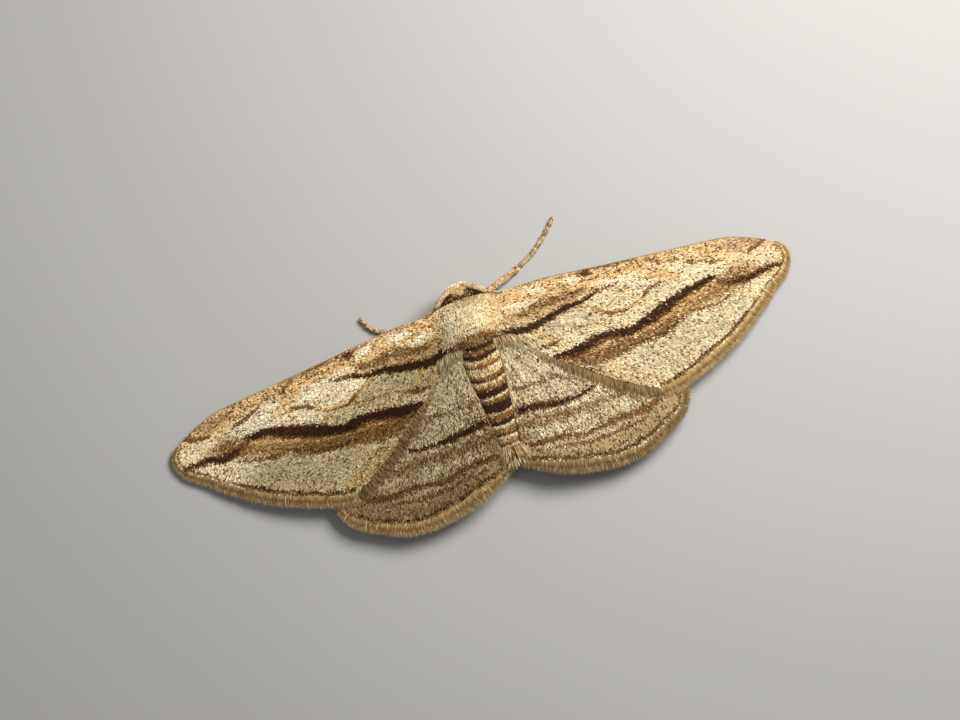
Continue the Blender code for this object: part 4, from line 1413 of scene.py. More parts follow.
    def build(self, grower: Grower, scales: Material, hair: Material) -> list[Object]:
        """Grows the wing's pieces.

        Args:
            grower: Sets the scales.
            scales: The finish of the flat scales.
            hair: The finish of fringe and hair.

        Returns:
            The scales above, those below, and the hair.
        """
        name, seed = self.name, self.seed
        hairs = [self.fringe_seats(), self.inner_seats(), self.root_seats()]
        if self.front:
            hairs.append(self.saddle_seats())
        return [
            grower.grow(f"scales_{name}_upper", self.scale_seats(True), Tuft.SCALE, scales,
                        (7.0, 10.0, 11.0), 0.18, seed),
            grower.grow(f"scales_{name}_lower", self.scale_seats(False), Tuft.SCALE, scales,
                        (3.0, 5.0, 10.0), 0.15, seed + 1),
            grower.grow(f"fringe_{name}", Seats.join(hairs), Tuft.HAIR, hair,
                        (3.0, 10.0, 3.0), 0.08, seed + 2),
        ]


# ------------ the body

EYE_HALF_SIZE = np.array((0.27, 0.36, 0.43))
EYE_CENTRE = np.array((0.65, 1.33, 1.86))
SEGMENT_EDGES = (-1.36, -2.22, -2.88, -3.57, -4.34, -5.02, -5.54, -6.04)

TRUNK_SECTIONS = ((1.84, 0.04, 1.7, 1.78), (1.8, 0.22, 1.54, 1.96), (1.66, 0.44, 1.42, 2.18),
    (1.45, 0.6, 1.36, 2.38), (1.25, 0.64, 1.42, 2.42), (1.12, 0.62, 1.54, 2.4), (0.98, 0.66, 1.66, 2.54),
    (0.8, 0.76, 1.6, 2.88), (0.4, 1.04, 1.47, 3.14), (-0.2, 1.08, 1.44, 3.18), (-0.7, 0.94, 1.48, 3.0),
    (-1.02, 0.78, 1.54, 2.66), (-1.3, 0.88, 1.42, 2.58), (-2.0, 0.91, 1.32, 2.54), (-3.0, 0.83, 1.22, 2.34),
    (-4.2, 0.71, 1.1, 2.02), (-5.2, 0.6, 1.0, 1.73), (-5.9, 0.49, 0.95, 1.56), (-6.3, 0.35, 0.98, 1.46),
    (-6.5, 0.06, 1.18, 1.26))


def arc(hue: Hue, strength: float, y: float, depth: float, softness: float = 0.45) -> Streak:
    """A band across the abdomen that bends forward on the sides."""
    across = (-1.25, -0.8, -0.4, 0.0, 0.4, 0.8, 1.25)
    return Streak(hue, strength, tuple((x, y + 0.16 * (x / 0.8) ** 2, depth) for x in across), softness)


CHEST_STREAKS = (
    wash(WHITE, 0.45, (-0.85, 0.75, 0.4), (-0.85, 0.0, 0.7), (-0.95, -0.5, 0.4)),
    wash(GOLD, 0.3, (-0.9, 0.98, 0.3), (0.0, 1.04, 0.35), (0.9, 0.98, 0.3)),
    wash(GOLD, 0.4, (0.9, 0.5, 0.35), (1.0, -0.2, 0.4), (0.9, -0.6, 0.3)),
    wash(WHITE, 0.25, (-0.1, 0.2, 0.6), (0.5, 0.1, 0.8)),
    Streak(TAN, 0.9, ((-1.4, -0.7, 0.24), (0.0, -0.68, 0.44), (1.4, -0.7, 0.24)), 0.6, 0.8),
    Streak(BROWN, 0.45, ((-0.6, -0.52, 0.14), (0.0, -0.56, 0.22), (0.6, -0.52, 0.14)), 0.6),
    Streak(TAN, 0.85, ((-0.8, -0.92, 0.16), (0.0, -0.97, 0.22), (0.8, -0.92, 0.16)), 0.6),
    Streak(GOLD, 0.85, ((-0.3, -0.82, 0.16), (0.0, -0.88, 0.22), (0.3, -0.82, 0.16)), 0.6),
    Streak(BROWN, 0.75, ((-1.5, -0.84, 0.2), (-1.0, -0.82, 0.24), (-0.6, -0.7, 0.24), (-0.3, -0.58, 0.1)),
        0.6),
    Streak(BROWN, 0.75, ((1.5, -0.84, 0.2), (1.0, -0.82, 0.24), (0.6, -0.74, 0.22), (0.3, -0.62, 0.1)), 0.6),
)

HEAD_MARKS_AND_SHADOW = (
    Streak(GOLD, 0.6, ((-0.6, 1.34, 0.4), (0.0, 1.48, 0.44), (0.6, 1.34, 0.4)), 0.4, 0.5),
    Streak(TAN, 0.55, ((-0.8, 1.55, 0.12), (-0.4, 1.7, 0.14), (0.4, 1.7, 0.14), (0.8, 1.55, 0.12)), 0.5, 0.7),
    *(Streak(BROWN, 0.9, ((0.13 * side, 1.25, 0.12), (0.3 * side, 1.34, 0.18), (0.54 * side, 1.34, 0.16)),
        0.6) for side in (-1, 1)),
    wash(CREAM, 0.85, (-0.06, 1.31, 0.18), (0.06, 1.31, 0.18)),
    Streak(BROWN, 0.95, ((-0.9, 1.06, 0.16), (-0.45, 1.12, 0.2), (0.0, 1.14, 0.18), (0.45, 1.12, 0.2),
        (0.9, 1.06, 0.16)), 0.5),
    Streak(CHOCOLATE, 0.8, ((-0.7, 1.1, 0.08), (0.0, 1.14, 0.1), (0.7, 1.1, 0.08))),
    # Painted shadow in the gap between each feeler's root and eye and the chest.
    *(Streak(CHOCOLATE, 0.95, ((0.38 * side, 1.42, 0.1), (0.58 * side, 1.28, 0.2), (0.82 * side, 1.12, 0.18),
        (1.06 * side, 0.98, 0.14)), 0.4) for side in (-1, 1)),
    Streak(WHITE, 1.0, ((-0.38, 1.78, 0.26), (0.0, 1.86, 0.44), (0.38, 1.78, 0.26)), 0.4, 0.7),
)

ABDOMEN_MARKS_AND_SHADOW = tuple(arc(*band) for band in ((BROWN, 0.72, -1.34, 0.4), (CHOCOLATE, 0.1, -1.34, 0.34),
    # The black arc at -1.12 is painted shadow in the gap between the chest and the abdomen.
    (CHOCOLATE, 1.0, -1.12, 0.2, 0.3), (CHOCOLATE, 1.0, -1.58, 0.22, 0.3), (WHITE, 0.55, -1.76, 0.13),
    (BROWN, 0.85, -2.05, 0.14), (WHITE, 0.8, -2.22, 0.1), (CREAM, 0.65, -2.42, 0.24),
    (BROWN, 0.8, -2.62, 0.2), (CHOCOLATE, 0.85, -2.73, 0.09), (WHITE, 0.75, -2.83, 0.08),
    (BROWN, 0.85, -3.18, 0.34), (CHOCOLATE, 1.0, -3.35, 0.34, 0.3), (WHITE, 0.7, -3.58, 0.08),
    (BROWN, 0.85, -3.82, 0.34), (CHOCOLATE, 1.0, -4.06, 0.48, 0.25), (CREAM, 0.8, -4.32, 0.07),
    (BROWN, 0.75, -4.6, 0.36), (CHOCOLATE, 1.0, -4.8, 0.22), (WHITE, 0.75, -4.94, 0.07),
    (TAN, 0.85, -5.15, 0.22), (BROWN, 0.5, -5.15, 0.18), (BROWN, 0.9, -5.34, 0.24),
    (CHOCOLATE, 0.6, -5.37, 0.12), (WHITE, 0.75, -5.49, 0.07), (TAN, 0.5, -5.68, 0.2),
    (BROWN, 0.95, -5.86, 0.18), (WHITE, 0.7, -6.02, 0.1)))

BACK_MOTTLE = Mottle(((BROWN, 0.15), (TAN, 0.4), (GOLD, 0.28), (CREAM, 0.17)))
TAIL_MOTTLE = Mottle(((BROWN, 0.1), (TAN, 0.26), (GOLD, 0.12), (CREAM, 0.38), (WHITE, 0.14)))
HEAD_MOTTLE = Mottle(((TAN, 0.14), (GOLD, 0.24), (CREAM, 0.42), (WHITE, 0.2)))
FRONS_MOTTLE = Mottle(((CREAM, 0.2), (WHITE, 0.8)))
BROW_MOTTLE = Mottle(((BROWN, 0.08), (TAN, 0.12), (GOLD, 0.16), (CREAM, 0.36), (WHITE, 0.28)))


class Mantle:
    """The dome of scales over the chest and both wing roots, as a height over the plan."""

    HALF_WIDTH = 1.66
    CREST = ((-1.0, 2.6), (-0.84, 2.82), (-0.6, 3.06), (-0.2, 3.21), (0.4, 3.16), (0.85, 2.93), (1.06, 2.68),
             (1.2, 2.44))

    def front(self, x: Array) -> Array:
        """Where the mantle starts, ahead of the chest."""
        return 1.16 - 0.1 * x ** 2

    def height(self, x: Array, y: Array) -> Array:
        """Its height over a place in plan."""
        forward = y + 1.18 - self.front(x)
        crest = np.interp(forward, *zip(*self.CREST))
        edge = 2.41 + 0.03 * ease(x, 0.8, 1.6) - 0.16 * ease(forward, 0.85, 1.2) - 0.04 * ease(-y, 0.4, 1.0)
        return edge + (crest - edge) * np.clip(1 - (x / self.HALF_WIDTH) ** 2, 0, 1) ** 1.4

    def up(self, x: Array, y: Array) -> Array:
        """The way out of it at each place."""
        step = 0.03
        fall = [self.height(x - a, y - b) - self.height(x + a, y + b) for a, b in ((step, 0), (0, step))]
        return unit_rows(np.column_stack([*fall, np.full(len(x), 2 * step)]))


def off_eyes(seats: Seats, clear: float) -> Seats:
    """Drops the seats that lie on or in an eye."""
    keep = np.ones(len(seats.at), bool)
    for side in Side:
        centre = EYE_CENTRE * (side.value, 1, 1)
        keep &= (((seats.at - centre) / (EYE_HALF_SIZE + clear)) ** 2).sum(axis=1) > 1
    return seats.keep(keep)


@dataclass
class BodyCoat:
    """The fur of head and chest, and the scales of the abdomen."""

    trunk: Trunk = Trunk(TRUNK_SECTIONS)

    def span(self, front: float, rear: float) -> Pair:
        """The stretch of s between two distances ahead of the chest."""
        s = np.linspace(0, 1, 2000)
        y = self.trunk.at(s, np.zeros(len(s)))[:, 1]
        return float(np.interp(-front, -y, s)), float(np.interp(-rear, -y, s))

    def seats(self, front: float, rear: float, density: float, seed: int, painter: Painter, size: Triple,
              lift: float, forward: bool = False, belly: Mottle = BELLY_MOTTLE) -> Seats:
        """Seats for one stretch of the body's coat.

        Args:
            front: Where it starts, ahead of the chest.
            rear: Where it ends.
            density: Seats on a square millimetre.
            seed: The seed for its places.
            painter: The colours of its back.
            size: Width, length and rise of each piece.
            lift: How steeply it stands, as the share of its length.
            forward: Whether it lies towards the head.
            belly: The colours below.

        Returns:
            The seats.
        """
        rng = np.random.default_rng(seed)
        s, t = self.trunk.sow(density, seed, s_span=self.span(front, rear))
        at = self.trunk.at(s, t)
        along, across = self.trunk.axes(s, t)
        up = unit_rows(np.cross(along, across))
        lie = unit_rows(along) * (-1 if forward else 1) + lift * up + rng.normal(0, 0.09, (len(s), 3))
        turn = np.where(t > 0.5, t - 1, t) * 2 * np.pi
        width = np.abs(at[:, 0]) / np.maximum(np.abs(np.sin(turn)), 0.2)
        past = np.abs(turn) - np.pi / 2      # the sides unroll outwards
        x = np.where(past < 0, at[:, 0], np.sign(turn) * width * (past + 1))
        tone = painter.scales(x, at[:, 1], -at[:, 1], x * 1.6)
        below = rng.random(len(s)) < ease(-up[:, 2], -0.25, 0.45)
        tone[below] = belly.pick(rng.random(below.sum())) * rng.uniform(0.85, 1.1, (below.sum(), 1))
        return Seats(at, unit_rows(lie), up, alike(len(s), *size), tone, map_places(s, t))

    def head(self) -> Seats:
        """Short fur that points forward, thick on the brow, and a hood of hair over the eyes."""
        painter = Painter(HEAD_MOTTLE, HEAD_MARKS_AND_SHADOW, seed=301)
        sides = self.seats(1.74, 1.06, 700, 302, painter, (0.04, 0.17, 0.03), 0.3, True)
        pale = Painter(FRONS_MOTTLE, seed=305, dots=0.02)
        brow = self.seats(1.84, 1.62, 1900, 303, pale, (0.04, 0.24, 0.03), 0.3, True, FRONS_MOTTLE)
        brow.lie[:, 2] -= 0.25 * (brow.at[:, 2] < 2.0)
        brow.size[:, 1] = 0.13 + 0.36 * np.minimum(np.abs(brow.at[:, 0]), 0.34)
        return Seats.join([off_eyes(Seats.join([sides, brow]), 0.02), self.hood(painter)])

    def hood(self, painter: Painter) -> Seats:
        """The fur of the crown, which runs out over the eyes and leaves a small pit in front of each."""
        rng = np.random.default_rng(306)
        count = 2300
        x = rng.uniform(-1.08, 1.08, count)
        limit = np.minimum(1.8, 1.76 - 0.635 * (np.abs(x) - 0.33))
        y = 1.1 + rng.random(count) * (limit - 1.1)
        pit = np.hypot((np.abs(x) - 0.7) / 1.5, y - 1.38) > 0.08
        x, y = x[pit], y[pit]
        z = 2.47 - 0.24 * x ** 2 - 0.36 * ease(y, 1.45, 1.95)
        up = unit_rows(np.column_stack([0.48 * x, 0.6 * ease(y, 1.45, 1.95), np.ones(len(x))]))
        lie = np.column_stack([0.9 * x, 0.9 - 0.5 * np.abs(x), 0 * x]) + rng.normal(0, 0.14, (len(x), 3))
        unwrap = np.column_stack([0.03 + 0.1 * (1.9 - y), (0.5 + 0.2 * x) % 1])
        return Seats(np.column_stack([x, y, z]), laid(lie, up, 0.18), up, alike(len(x), 0.038, 0.15, 0.026),
                     painter.scales(x, y, y, x), unwrap)

    def chest(self) -> Seats:
        """Smooth scales in one sheet from wing root to wing root, and over the chest's sides."""
        rng = np.random.default_rng(312)
        dome, count = Mantle(), 6400
        x = dome.HALF_WIDTH * rng.uniform(-1, 1, count)
        y = dome.front(x) - rng.random(count) * (dome.front(x) + 0.86 + 0.04 * np.abs(x))
        thin = rng.random(count) > ease(np.abs(x), 1.25, dome.HALF_WIDTH)
        x, y = x[thin], y[thin]
        up = dome.up(x, y)
        lie = np.column_stack([0.3 * x, 0 * x - 1.0, 0 * x]) + rng.normal(0, 0.1, (len(x), 3))
        lie[:, 0] += 0.4 * ease(y, 0.7, 1.2) * x
        tone = Painter(CHEST_MOTTLE, CHEST_STREAKS, seed=311, dots=0.08).scales(x, y, y, x)
        wing = replace(FOREWING.painter, seed=313).scales(np.abs(x), y, y, x)
        far = rng.random(len(x)) < ease(np.abs(x), 1.0, 1.4)
        tone[far] = wing[far]
        unwrap = np.column_stack([0.3 + 0.04 * y, (0.5 + 0.14 * x) % 1])
        at, size = np.column_stack([x, y, dome.height(x, y)]), alike(len(x), 0.052, 0.13, 0.028)
        sheet = Seats(at, laid(lie, up, 0.14), up, size, tone, unwrap)
        plain = Painter(CHEST_MOTTLE, seed=310)
        sides = self.seats(1.1, -0.9, 420, 314, plain, (0.06, 0.14, 0.03), 0.14)
        return Seats.join([sheet, sides.keep((sides.up[:, 2] < 0.75) & (sides.at[:, 2] < 2.42))])

    def chest_hair(self) -> Seats:
        """The hair below the chest, and the brown tuft at its rear."""
        painter = Painter(CHEST_MOTTLE, CHEST_STREAKS, seed=315)
        rear = self.seats(-0.55, -0.98, 700, 316, painter, (0.042, 0.19, 0.035), 0.3)
        rear.at[:, 2] += 0.06
        below = self.seats(0.95, -0.95, 200, 317, painter, (0.05, 0.34, 0.035), 0.3)
        return Seats.join([rear, below.keep(below.up[:, 2] < 0.1)])

    def abdomen(self) -> Seats:
        """Close scales in rings, with a pale row of longer ones at the rear of each segment."""
        painter = Painter(BACK_MOTTLE, ABDOMEN_MARKS_AND_SHADOW, seed=331, ragged=0.02)
        coat = self.seats(-0.92, -6.4, 700, 332, painter, (0.06, 0.12, 0.03), 0.1)
        rows = [self.seats(edge + 0.1, edge + 0.01, 700, 340 + k, painter, (0.05, 0.15, 0.035), 0.16)
                for k, edge in enumerate(SEGMENT_EDGES)]
        return Seats.join([coat, *rows])

    def tail(self) -> Seats:
        """The long hair-scales of the tail tuft."""
        spot = Streak(BROWN, 0.55, ((-0.14, -6.2, 0.2), (0.14, -6.2, 0.2)))
        painter = Painter(TAIL_MOTTLE, (spot,), seed=351, uneven=0.4)
        tuft = self.seats(-5.98, -6.48, 1700, 352, painter, (0.04, 0.68, 0.035), 0.12)
        rng = np.random.default_rng(353)
        tuft.at[:, 2] += 0.1
        tuft.lie[:, 0] = 0.9 * tuft.at[:, 0] + rng.normal(0, 0.1, len(tuft.at))
        tuft.lie[:, 2] -= 0.1
        tuft.size[:, 1] *= rng.uniform(0.6, 1.15, len(tuft.at))
        return tuft

    def build(self, grower: Grower, scales: Material, fur: Material) -> list[Object]:
        """Grows the body's coat pieces."""
        return [
            grower.grow("fur_head", self.head(), Tuft.HAIR, fur, (9.0, 12.0, 14.0), 0.22, 304),
            grower.grow("scales_chest", self.chest(), Tuft.SCALE, scales, (7.0, 9.0, 14.0), 0.2, 313),
            grower.grow("fur_chest", self.chest_hair(), Tuft.HAIR, fur, (7.0, 12.0, 9.0), 0.22, 314),
            grower.grow("scales_abdomen", self.abdomen(), Tuft.SCALE, scales, (6.0, 8.0, 10.0), 0.18, 334),
            grower.grow("fur_tail", self.tail(), Tuft.HAIR, fur, (5.0, 10.0, 6.0), 0.15, 354),
        ]


@dataclass
class Eye:
    """One eye: a flattened ball of domed facets."""

    side: Side
    divisions: int = 5
    dome: float = 0.022      # how far a facet stands out, before the ball shrinks to its size

    def tree(self) -> Tree:
        """The node tree that turns a ball into facets and domes each one."""
        tree = geometry_tree("eye_of_facets", {"Dome": "Float", "Finish": "Material"}, "Eye")
        wiring = Wiring(tree)
        given = wiring.node("NodeGroupInput", {}).outputs
        ball = wiring.node("GeometryNodeMeshIcoSphere", {"Radius": 1.0, "Subdivisions": self.divisions})
        facets = wiring.node("GeometryNodeDualMesh", {"Mesh": ball.outputs["Mesh"]})
        dome = wiring.node("GeometryNodeExtrudeMesh", {
            "Mesh": facets.outputs["Dual Mesh"], "Offset Scale": given["Dome"]}).outputs
        shrink = wiring.node("GeometryNodeScaleElements", {
            "Geometry": dome["Mesh"], "Selection": dome["Top"], "Scale": 0.55})
        centre = GROUND.place((EYE_CENTRE * (self.side.value, 1, 1))[None])[0]
        squash = wiring.node("GeometryNodeTransform", {
            "Geometry": shrink.outputs["Geometry"], "Translation": centre,
            "Scale": EYE_HALF_SIZE * GROUND.unit})
        real = wiring.node("GeometryNodeRealizeInstances", {0: squash.outputs["Geometry"]})
        wiring.end(real.outputs[0], given["Finish"])
        return tree

    def build(self, material: Material) -> Object:
        """Makes the eye as plain mesh."""
        obj = new_object(f"eye_ball_{self.side.word}", bpy.data.meshes.new("eye_start"))
        made_real(obj, self.tree(), {"Dome": self.dome, "Finish": material})
        obj.data.shade_smooth()
        return obj


# ------------ limbs

SOLE = 0.19      # the middle of a foot that lies on the floor

LEG_KNOTS = {
    "front_right": ((0.55, 0.5, 1.5, 0.2), (0.7, 0.6, 0.95, 0.19), (1.32, 1.1, 0.62, 0.16),
        (1.5, 1.17, 0.56, 0.125), (2.2, 1.42, 0.34, 0.135), (2.9, 1.68, 0.215, 0.125),
        (2.99, 1.72, 0.19, 0.085), (3.9, 2.17, SOLE, 0.08), (4.62, 2.72, SOLE, 0.072),
        (5.05, 3.12, SOLE, 0.066), (5.3, 3.42, SOLE, 0.055)),
    "front_left": ((0.55, 0.5, 1.5, 0.2), (0.7, 0.6, 0.95, 0.19), (1.32, 0.74, 0.62, 0.16),
        (1.5, 0.73, 0.56, 0.125), (2.6, 0.7, 0.215, 0.125), (2.7, 0.7, 0.19, 0.085), (3.5, 0.78, SOLE, 0.08),
        (4.2, 1.06, SOLE, 0.074), (4.58, 1.44, SOLE, 0.068), (4.76, 1.86, SOLE, 0.056)),
    "middle": ((0.55, -0.15, 1.55, 0.2), (0.8, -0.18, 1.0, 0.2), (2.0, 0.0, 0.74, 0.16),
        (2.2, 0.02, 0.66, 0.12), (3.9, 0.1, 0.22, 0.13), (4.0, 0.1, 0.19, 0.085), (5.2, 0.0, SOLE, 0.078),
        (6.0, -0.14, SOLE, 0.07), (6.42, -0.26, SOLE, 0.056)),
    "hind": ((0.45, -0.85, 1.5, 0.2), (0.62, -1.0, 0.95, 0.2), (1.5, -1.7, 0.7, 0.16),
        (1.58, -1.85, 0.62, 0.12), (2.08, -3.22, 0.225, 0.135), (2.11, -3.34, 0.19, 0.085),
        (2.4, -4.2, SOLE, 0.078), (2.54, -4.78, SOLE, 0.07), (2.61, -5.14, SOLE, 0.056)),
}
FOOT_KNOT = {"front_right": 6, "front_left": 5, "middle": 5, "hind": 5}
FOOT_SHARES = (0.4, 0.62, 0.79, 0.92)      # where the foot's joints lie along it

FEELER_KNOTS = ((0.24, 1.56, 2.2, 0.085), (0.3, 1.71, 2.34, 0.105), (0.6, 1.59, 2.4, 0.098),
    (0.92, 1.38, 2.36, 0.092), (1.18, 1.16, 2.26, 0.08), (1.46, 1.03, 2.06, 0.064), (2.0, 0.84, 1.79, 0.056),
    (3.6, 0.55, 1.36, 0.048), (5.4, 0.15, 0.98, 0.04), (6.98, -0.35, 0.72, 0.026))
PALP_KNOTS = ((0.2, 1.28, 1.3, 0.1), (0.23, 1.38, 1.02, 0.12), (0.24, 1.52, 0.96, 0.13),
    (0.24, 1.66, 1.04, 0.11), (0.23, 1.76, 1.12, 0.06))


def share_of_knot(knots: Knots, index: int) -> float:
    """How far along a limb one of its knots lies."""
    return float(np.interp(index / (len(knots) - 1), *run_of(knots)))


@dataclass
class Limb:
    """A leg, feeler or palp: its skin tube and its coat of small scales."""

    name: str
    knots: tuple[Quad, ...]
    side: Side
    rings: tuple[float, ...] = ()
    density: float = 420.0
    scale: Triple = (0.05, 0.105, 0.022)
    lift: float = 0.1
    mottle: Mottle = LIMB_MOTTLE
    seed: int = 400

    @property
    def tube(self) -> Tube:
        """The limb's surface."""
        return Tube(self.knots, self.side, self.rings)

    def skin_tone(self, points: Array) -> Array:
        """The skin's colour at each point."""
        return np.tile(self.mottle.mean() * 0.6, (len(points), 1))

    def seats(self) -> Seats:
        """Seats for the limb's scales, pale at the end of each foot joint."""
        rng = np.random.default_rng(self.seed)
        tube = self.tube
        s, t = tube.sow(self.density, self.seed)
        along, across = tube.axes(s, t)
        up = tube.facing * unit_rows(np.cross(along, across))
        lie = unit_rows(unit_rows(along) + self.lift * up + rng.normal(0, 0.06, (len(s), 3)))
        chance = rng.random(len(s)) + 0.9 * Grain(self.seed).at(s * 26, t * 5)
        tone = self.mottle.pick(chance) * rng.uniform(0.85, 1.15, (len(s), 1))
        if self.name.startswith("feeler"):
            inner = s < 0.17
            tone[inner] = BROW_MOTTLE.pick(rng.random(inner.sum()))
        for ring in self.rings:
            pale = (np.abs(s - ring + 0.004) < 0.01) & (rng.random(len(s)) < 0.8)
            tone[pale] = CREAM.value
            dark = (s > ring + 0.01) & (s < ring + 0.045) & (rng.random(len(s)) < 0.45)
            tone[dark] = BROWN.value
        return Seats(tube.at(s, t), lie, up, alike(len(s), *self.scale), tone, map_places(s, t), 0.75)


def leg_limb(which: str, side: Side, seed: int) -> Limb:
    """A leg with its foot's joints."""
    key = f"{which}_{side.word}" if which == "front" else which
    knots = LEG_KNOTS[key]
    start = share_of_knot(knots, FOOT_KNOT[key])
    rings = (start - 0.012, *(start + (1 - start) * share for share in FOOT_SHARES))
    return Limb(f"leg_{which}_{side.word}", knots, side, rings, seed=seed)


def feeler_limb(side: Side) -> Limb:
    """A feeler in its own small scales."""
    mottle = Mottle(((BROWN, 0.22), (TAN, 0.3), (GOLD, 0.14), (CREAM, 0.34)))
    return Limb(f"feeler_{side.word}", FEELER_KNOTS, side, (), 700.0, (0.034, 0.07, 0.014), 0.12, mottle,
                470 + side.value)


@dataclass
class Limbs:
    """All the limbs, with their claws and spurs."""

    legs: list[Limb] = field(default_factory=lambda: [
        leg_limb(which, side, 401 + 3 * k + side.value)
        for k, which in enumerate(("front", "middle", "hind")) for side in Side])
    feelers: list[Limb] = field(default_factory=lambda: [feeler_limb(side) for side in Side])
    palps: list[Limb] = field(default_factory=lambda: [
        Limb(f"palp_{side.word}", PALP_KNOTS, side, (), 900.0, (0.045, 0.16, 0.025), 0.22,
             seed=480 + side.value) for side in Side])

    def spur_seats(self) -> Seats:
        """Seats for two claws on each foot and the spurs of the shins."""
        rows = []
        for leg in self.legs:
            tube = leg.tube
            start = leg.rings[0]
            spurs = [(1.0, 0.11, 0.5, 0.03), (1.0, 0.11, -0.5, 0.03)]
            if "front" not in leg.name:
                spurs += [(start, 0.34, 0.35, 0.05), (start, 0.3, -0.35, 0.05)]
            if "hind" in leg.name:
                spurs += [(start - 0.14, 0.32, 0.35, 0.05), (start - 0.14, 0.28, -0.35, 0.05)]
            for s, length, spread, width in spurs:
                middle, radius, across, upward = (row[0] for row in tube.line(np.array([s])))
                along = unit_rows(tube.axes(np.array([s]), np.array([0.25]))[0])[0]
                at = middle + 0.6 * radius * np.sign(spread) * across
                lie = along + spread * across - 0.12 * upward
                lie = unit_rows(np.array((lie[0], lie[1], max(lie[2], -0.02))))
                rows.append((at, lie, upward, (width, length, width), (0.08, 0.045, 0.02), (s * 0.95, 0.5)))
        return Seats(*(np.array(column) for column in zip(*rows)), 1.0)

    def build(self, grower: Grower, scales: Material, horn: Material) -> list[Object]:
        """Grows the limbs' coat pieces."""
        legs, feelers, palps = (Seats.join([limb.seats() for limb in limbs])
                                for limbs in (self.legs, self.feelers, self.palps))
        return [
            grower.grow("scales_legs", legs, Tuft.SCALE, scales, (5.0, 8.0, 10.0), 0.2, 490),
            grower.grow("scales_feelers", feelers, Tuft.SCALE, scales, (5.0, 8.0, 10.0), 0.2, 491),
            grower.grow("scales_palps", palps, Tuft.HAIR, scales, (8.0, 10.0, 12.0), 0.2, 492),
            grower.grow("claws_and_spurs", self.spur_seats(), Tuft.LOCK, horn, (0.0, 0.0, 2.0), 0.05, 493),
        ]


# ------------ skin


def trunk_tone(points: Array) -> Array:
    """The skin's colour over head, chest and abdomen."""
    x, y = points[:, 0], points[:, 1]
    tone = Painter(CHEST_MOTTLE, CHEST_STREAKS).skin(x, y)
    for other, share in ((Painter(BACK_MOTTLE, ABDOMEN_MARKS_AND_SHADOW).skin(x, y), ease(-y, 0.9, 1.1)),
                         (Painter(HEAD_MOTTLE, HEAD_MARKS_AND_SHADOW).skin(x, y), ease(y, 0.95, 1.1)),
                         (0.8 * BELLY_MOTTLE.mean(), ease(-points[:, 2], -2.0, -1.4))):
        tone += share[:, None] * (other - tone)
    return tone


def build_skin(limbs: Limbs, wings: Sequence[Wing], material: Material) -> Object:
    """Joins the trunk, the wings and the limbs into the one skin."""
    maker = SkinMaker()
    maker.add_tube(Trunk(TRUNK_SECTIONS), trunk_tone, 170, 48)
    for wing in wings:
        maker.add_wing(wing, *((132, 56) if wing.front else (78, 66)))
    for limb in (*limbs.legs, *limbs.feelers, *limbs.palps):
        maker.add_tube(limb.tube, limb.skin_tone, 200 if "feeler" in limb.name else 110, 12)
    return maker.finish("skin", material)


# ------------ the studio


@dataclass(frozen=True)
class Lamp:
    """A square soft light: where it stands and what it faces, in millimetres."""

    name: str
    place: Triple
    size: float
    power: float
    colour: Triple

    def light(self) -> None:
        """Adds the lamp."""
        data = bpy.data.lights.new(self.name, "AREA")
        data.shape, data.size = "SQUARE", self.size * MM
        data.energy, data.color = self.power, self.colour
        lamp = new_object(self.name, data)
        lamp.location = Vector(self.place) * MM
        lamp.rotation_euler = (-lamp.location).to_track_quat("-Z", "Y").to_euler()


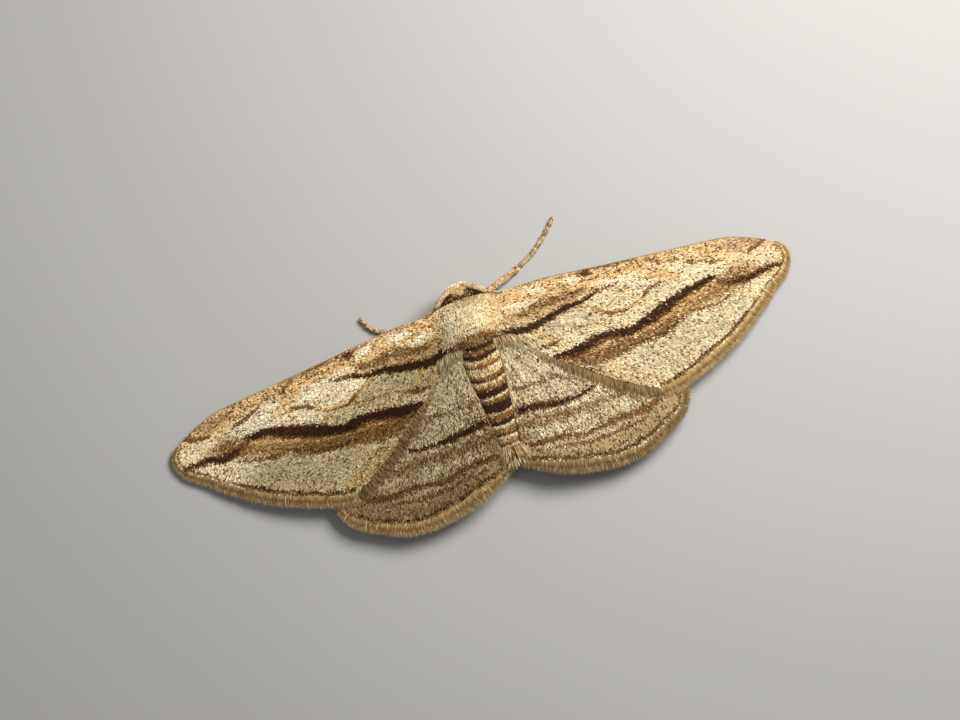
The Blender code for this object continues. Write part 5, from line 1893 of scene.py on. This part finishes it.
@dataclass(frozen=True)
class Studio:
    """The floor, the lights and the camera."""

    turned: float = 19.0           # how far the moth lies turned in the picture, in degrees
    aim: Pair = (-0.08, -1.8)
    distance: float = 125.7
    lens: float = 100.0
    lamps: tuple[Lamp, ...] = (
        Lamp("key", (42.0, 28.0, 58.0), 34.0, 0.091, (1.0, 0.965, 0.91)),
        Lamp("fill", (-110.0, 20.0, 120.0), 110.0, 0.008, (1.0, 0.95, 0.88)),
        Lamp("top", (0.0, 20.0, 190.0), 120.0, 0.04, (1.0, 0.97, 0.93)),
    )

    def floor(self) -> None:
        """Lays the board that the moth stands on."""
        mesh = bpy.data.meshes.new("floor_board")
        shape = bmesh.new()
        bmesh.ops.create_grid(shape, x_segments=1, y_segments=1, size=0.5)
        shape.to_mesh(mesh)
        shape.free()
        mesh.materials.append(FloorFinish().make())
        new_object("floor_board", mesh)

    def camera(self) -> None:
        """Hangs the camera straight above the moth."""
        data = bpy.data.cameras.new("camera")
        data.lens, data.sensor_width = self.lens, 36.0
        data.clip_start, data.clip_end = 0.01, 10.0
        camera = new_object("camera", data)
        x, y, _ = GROUND.place(np.array([[*self.aim, 0.0]]))[0]
        camera.location = (x, y, self.distance * MM)
        camera.rotation_euler = (0.0, 0.0, -math.radians(self.turned))
        bpy.context.scene.camera = camera

    def world(self) -> None:
        """Sets a faint, even light all round."""
        world = bpy.data.worlds.new("soft_room")
        world.use_nodes = True
        back = world.node_tree.nodes["Background"]
        back.inputs["Color"].default_value = (1.0, 0.97, 0.93, 1.0)
        back.inputs["Strength"].default_value = 0.12
        bpy.context.scene.world = world

    def build(self) -> None:
        """Sets up the studio."""
        self.floor()
        self.camera()
        self.world()
        for lamp in self.lamps:
            lamp.light()
        bpy.context.scene.view_settings.view_transform = "Standard"


# ------------ all together


def settle(obj: Object, slot: str, *nodes: str) -> None:
    """Makes a piece ride on the body, and hides the solids that it stands for."""
    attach(obj, BODY)
    if nodes:
        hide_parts(*nodes)


def main() -> None:
    """Builds the moth, then the studio."""
    logging.basicConfig(level=logging.INFO, format="%(message)s")
    grower = Grower()
    wing_scales = CoatFinish("wing_scales", 0.74, 0.0).make()
    fur = CoatFinish("soft_fur", 0.72, 0.02).make()
    body_scales = CoatFinish("body_scales", 0.62, 0.02).make()
    limb_scales = CoatFinish("limb_scales", 0.58, 0.02).make()
    # The left wings have bolder, stronger streaks. Painted shade lies over the left hindwing, deeper towards
    # its margin, with its fringe drawn brighter; painted light lies over the front of the left forewing, and
    # painted shade over its rear and its fringe.
    left_hindwing_painted_shade = WingLook(1.08, 1.03, (0.77, 0.76, 0.71), (0.6, 0.58, 0.52), 1.2, 0.55)
    left_forewing_light_and_shade = WingLook(1.12, 1.16, (1.1, 1.12, 1.17), (0.7, 0.68, 0.61), 0.8)
    wings = [Wing(HINDWING, Side.LEFT, left_hindwing_painted_shade), Wing(FOREWING, Side.LEFT, left_forewing_light_and_shade),
             Wing(HINDWING, Side.RIGHT), Wing(FOREWING, Side.RIGHT)]
    limbs = Limbs()

    skin = build_skin(limbs, wings, SkinFinish().make())
    covered = [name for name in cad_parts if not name.startswith("eye_")]
    settle(skin, "body_coat", *covered)
    log.info("skin: %d faces", len(skin.data.polygons))
    for wing in wings:
        for piece in wing.build(grower, wing_scales, fur):
            settle(piece, "wing_scales")
    for piece in BodyCoat().build(grower, body_scales, fur):
        settle(piece, "body_coat")
    for piece in limbs.build(grower, limb_scales, CLAW_HORN.make()):
        settle(piece, "limb_scales")
    facets = EYE_FACETS.make()
    for side in Side:
        settle(Eye(side).build(facets), "eye_facets", f"eye_{side.word}")
    grower.tidy_away()

    Studio().build()


if __name__ == "__main__":
    main()
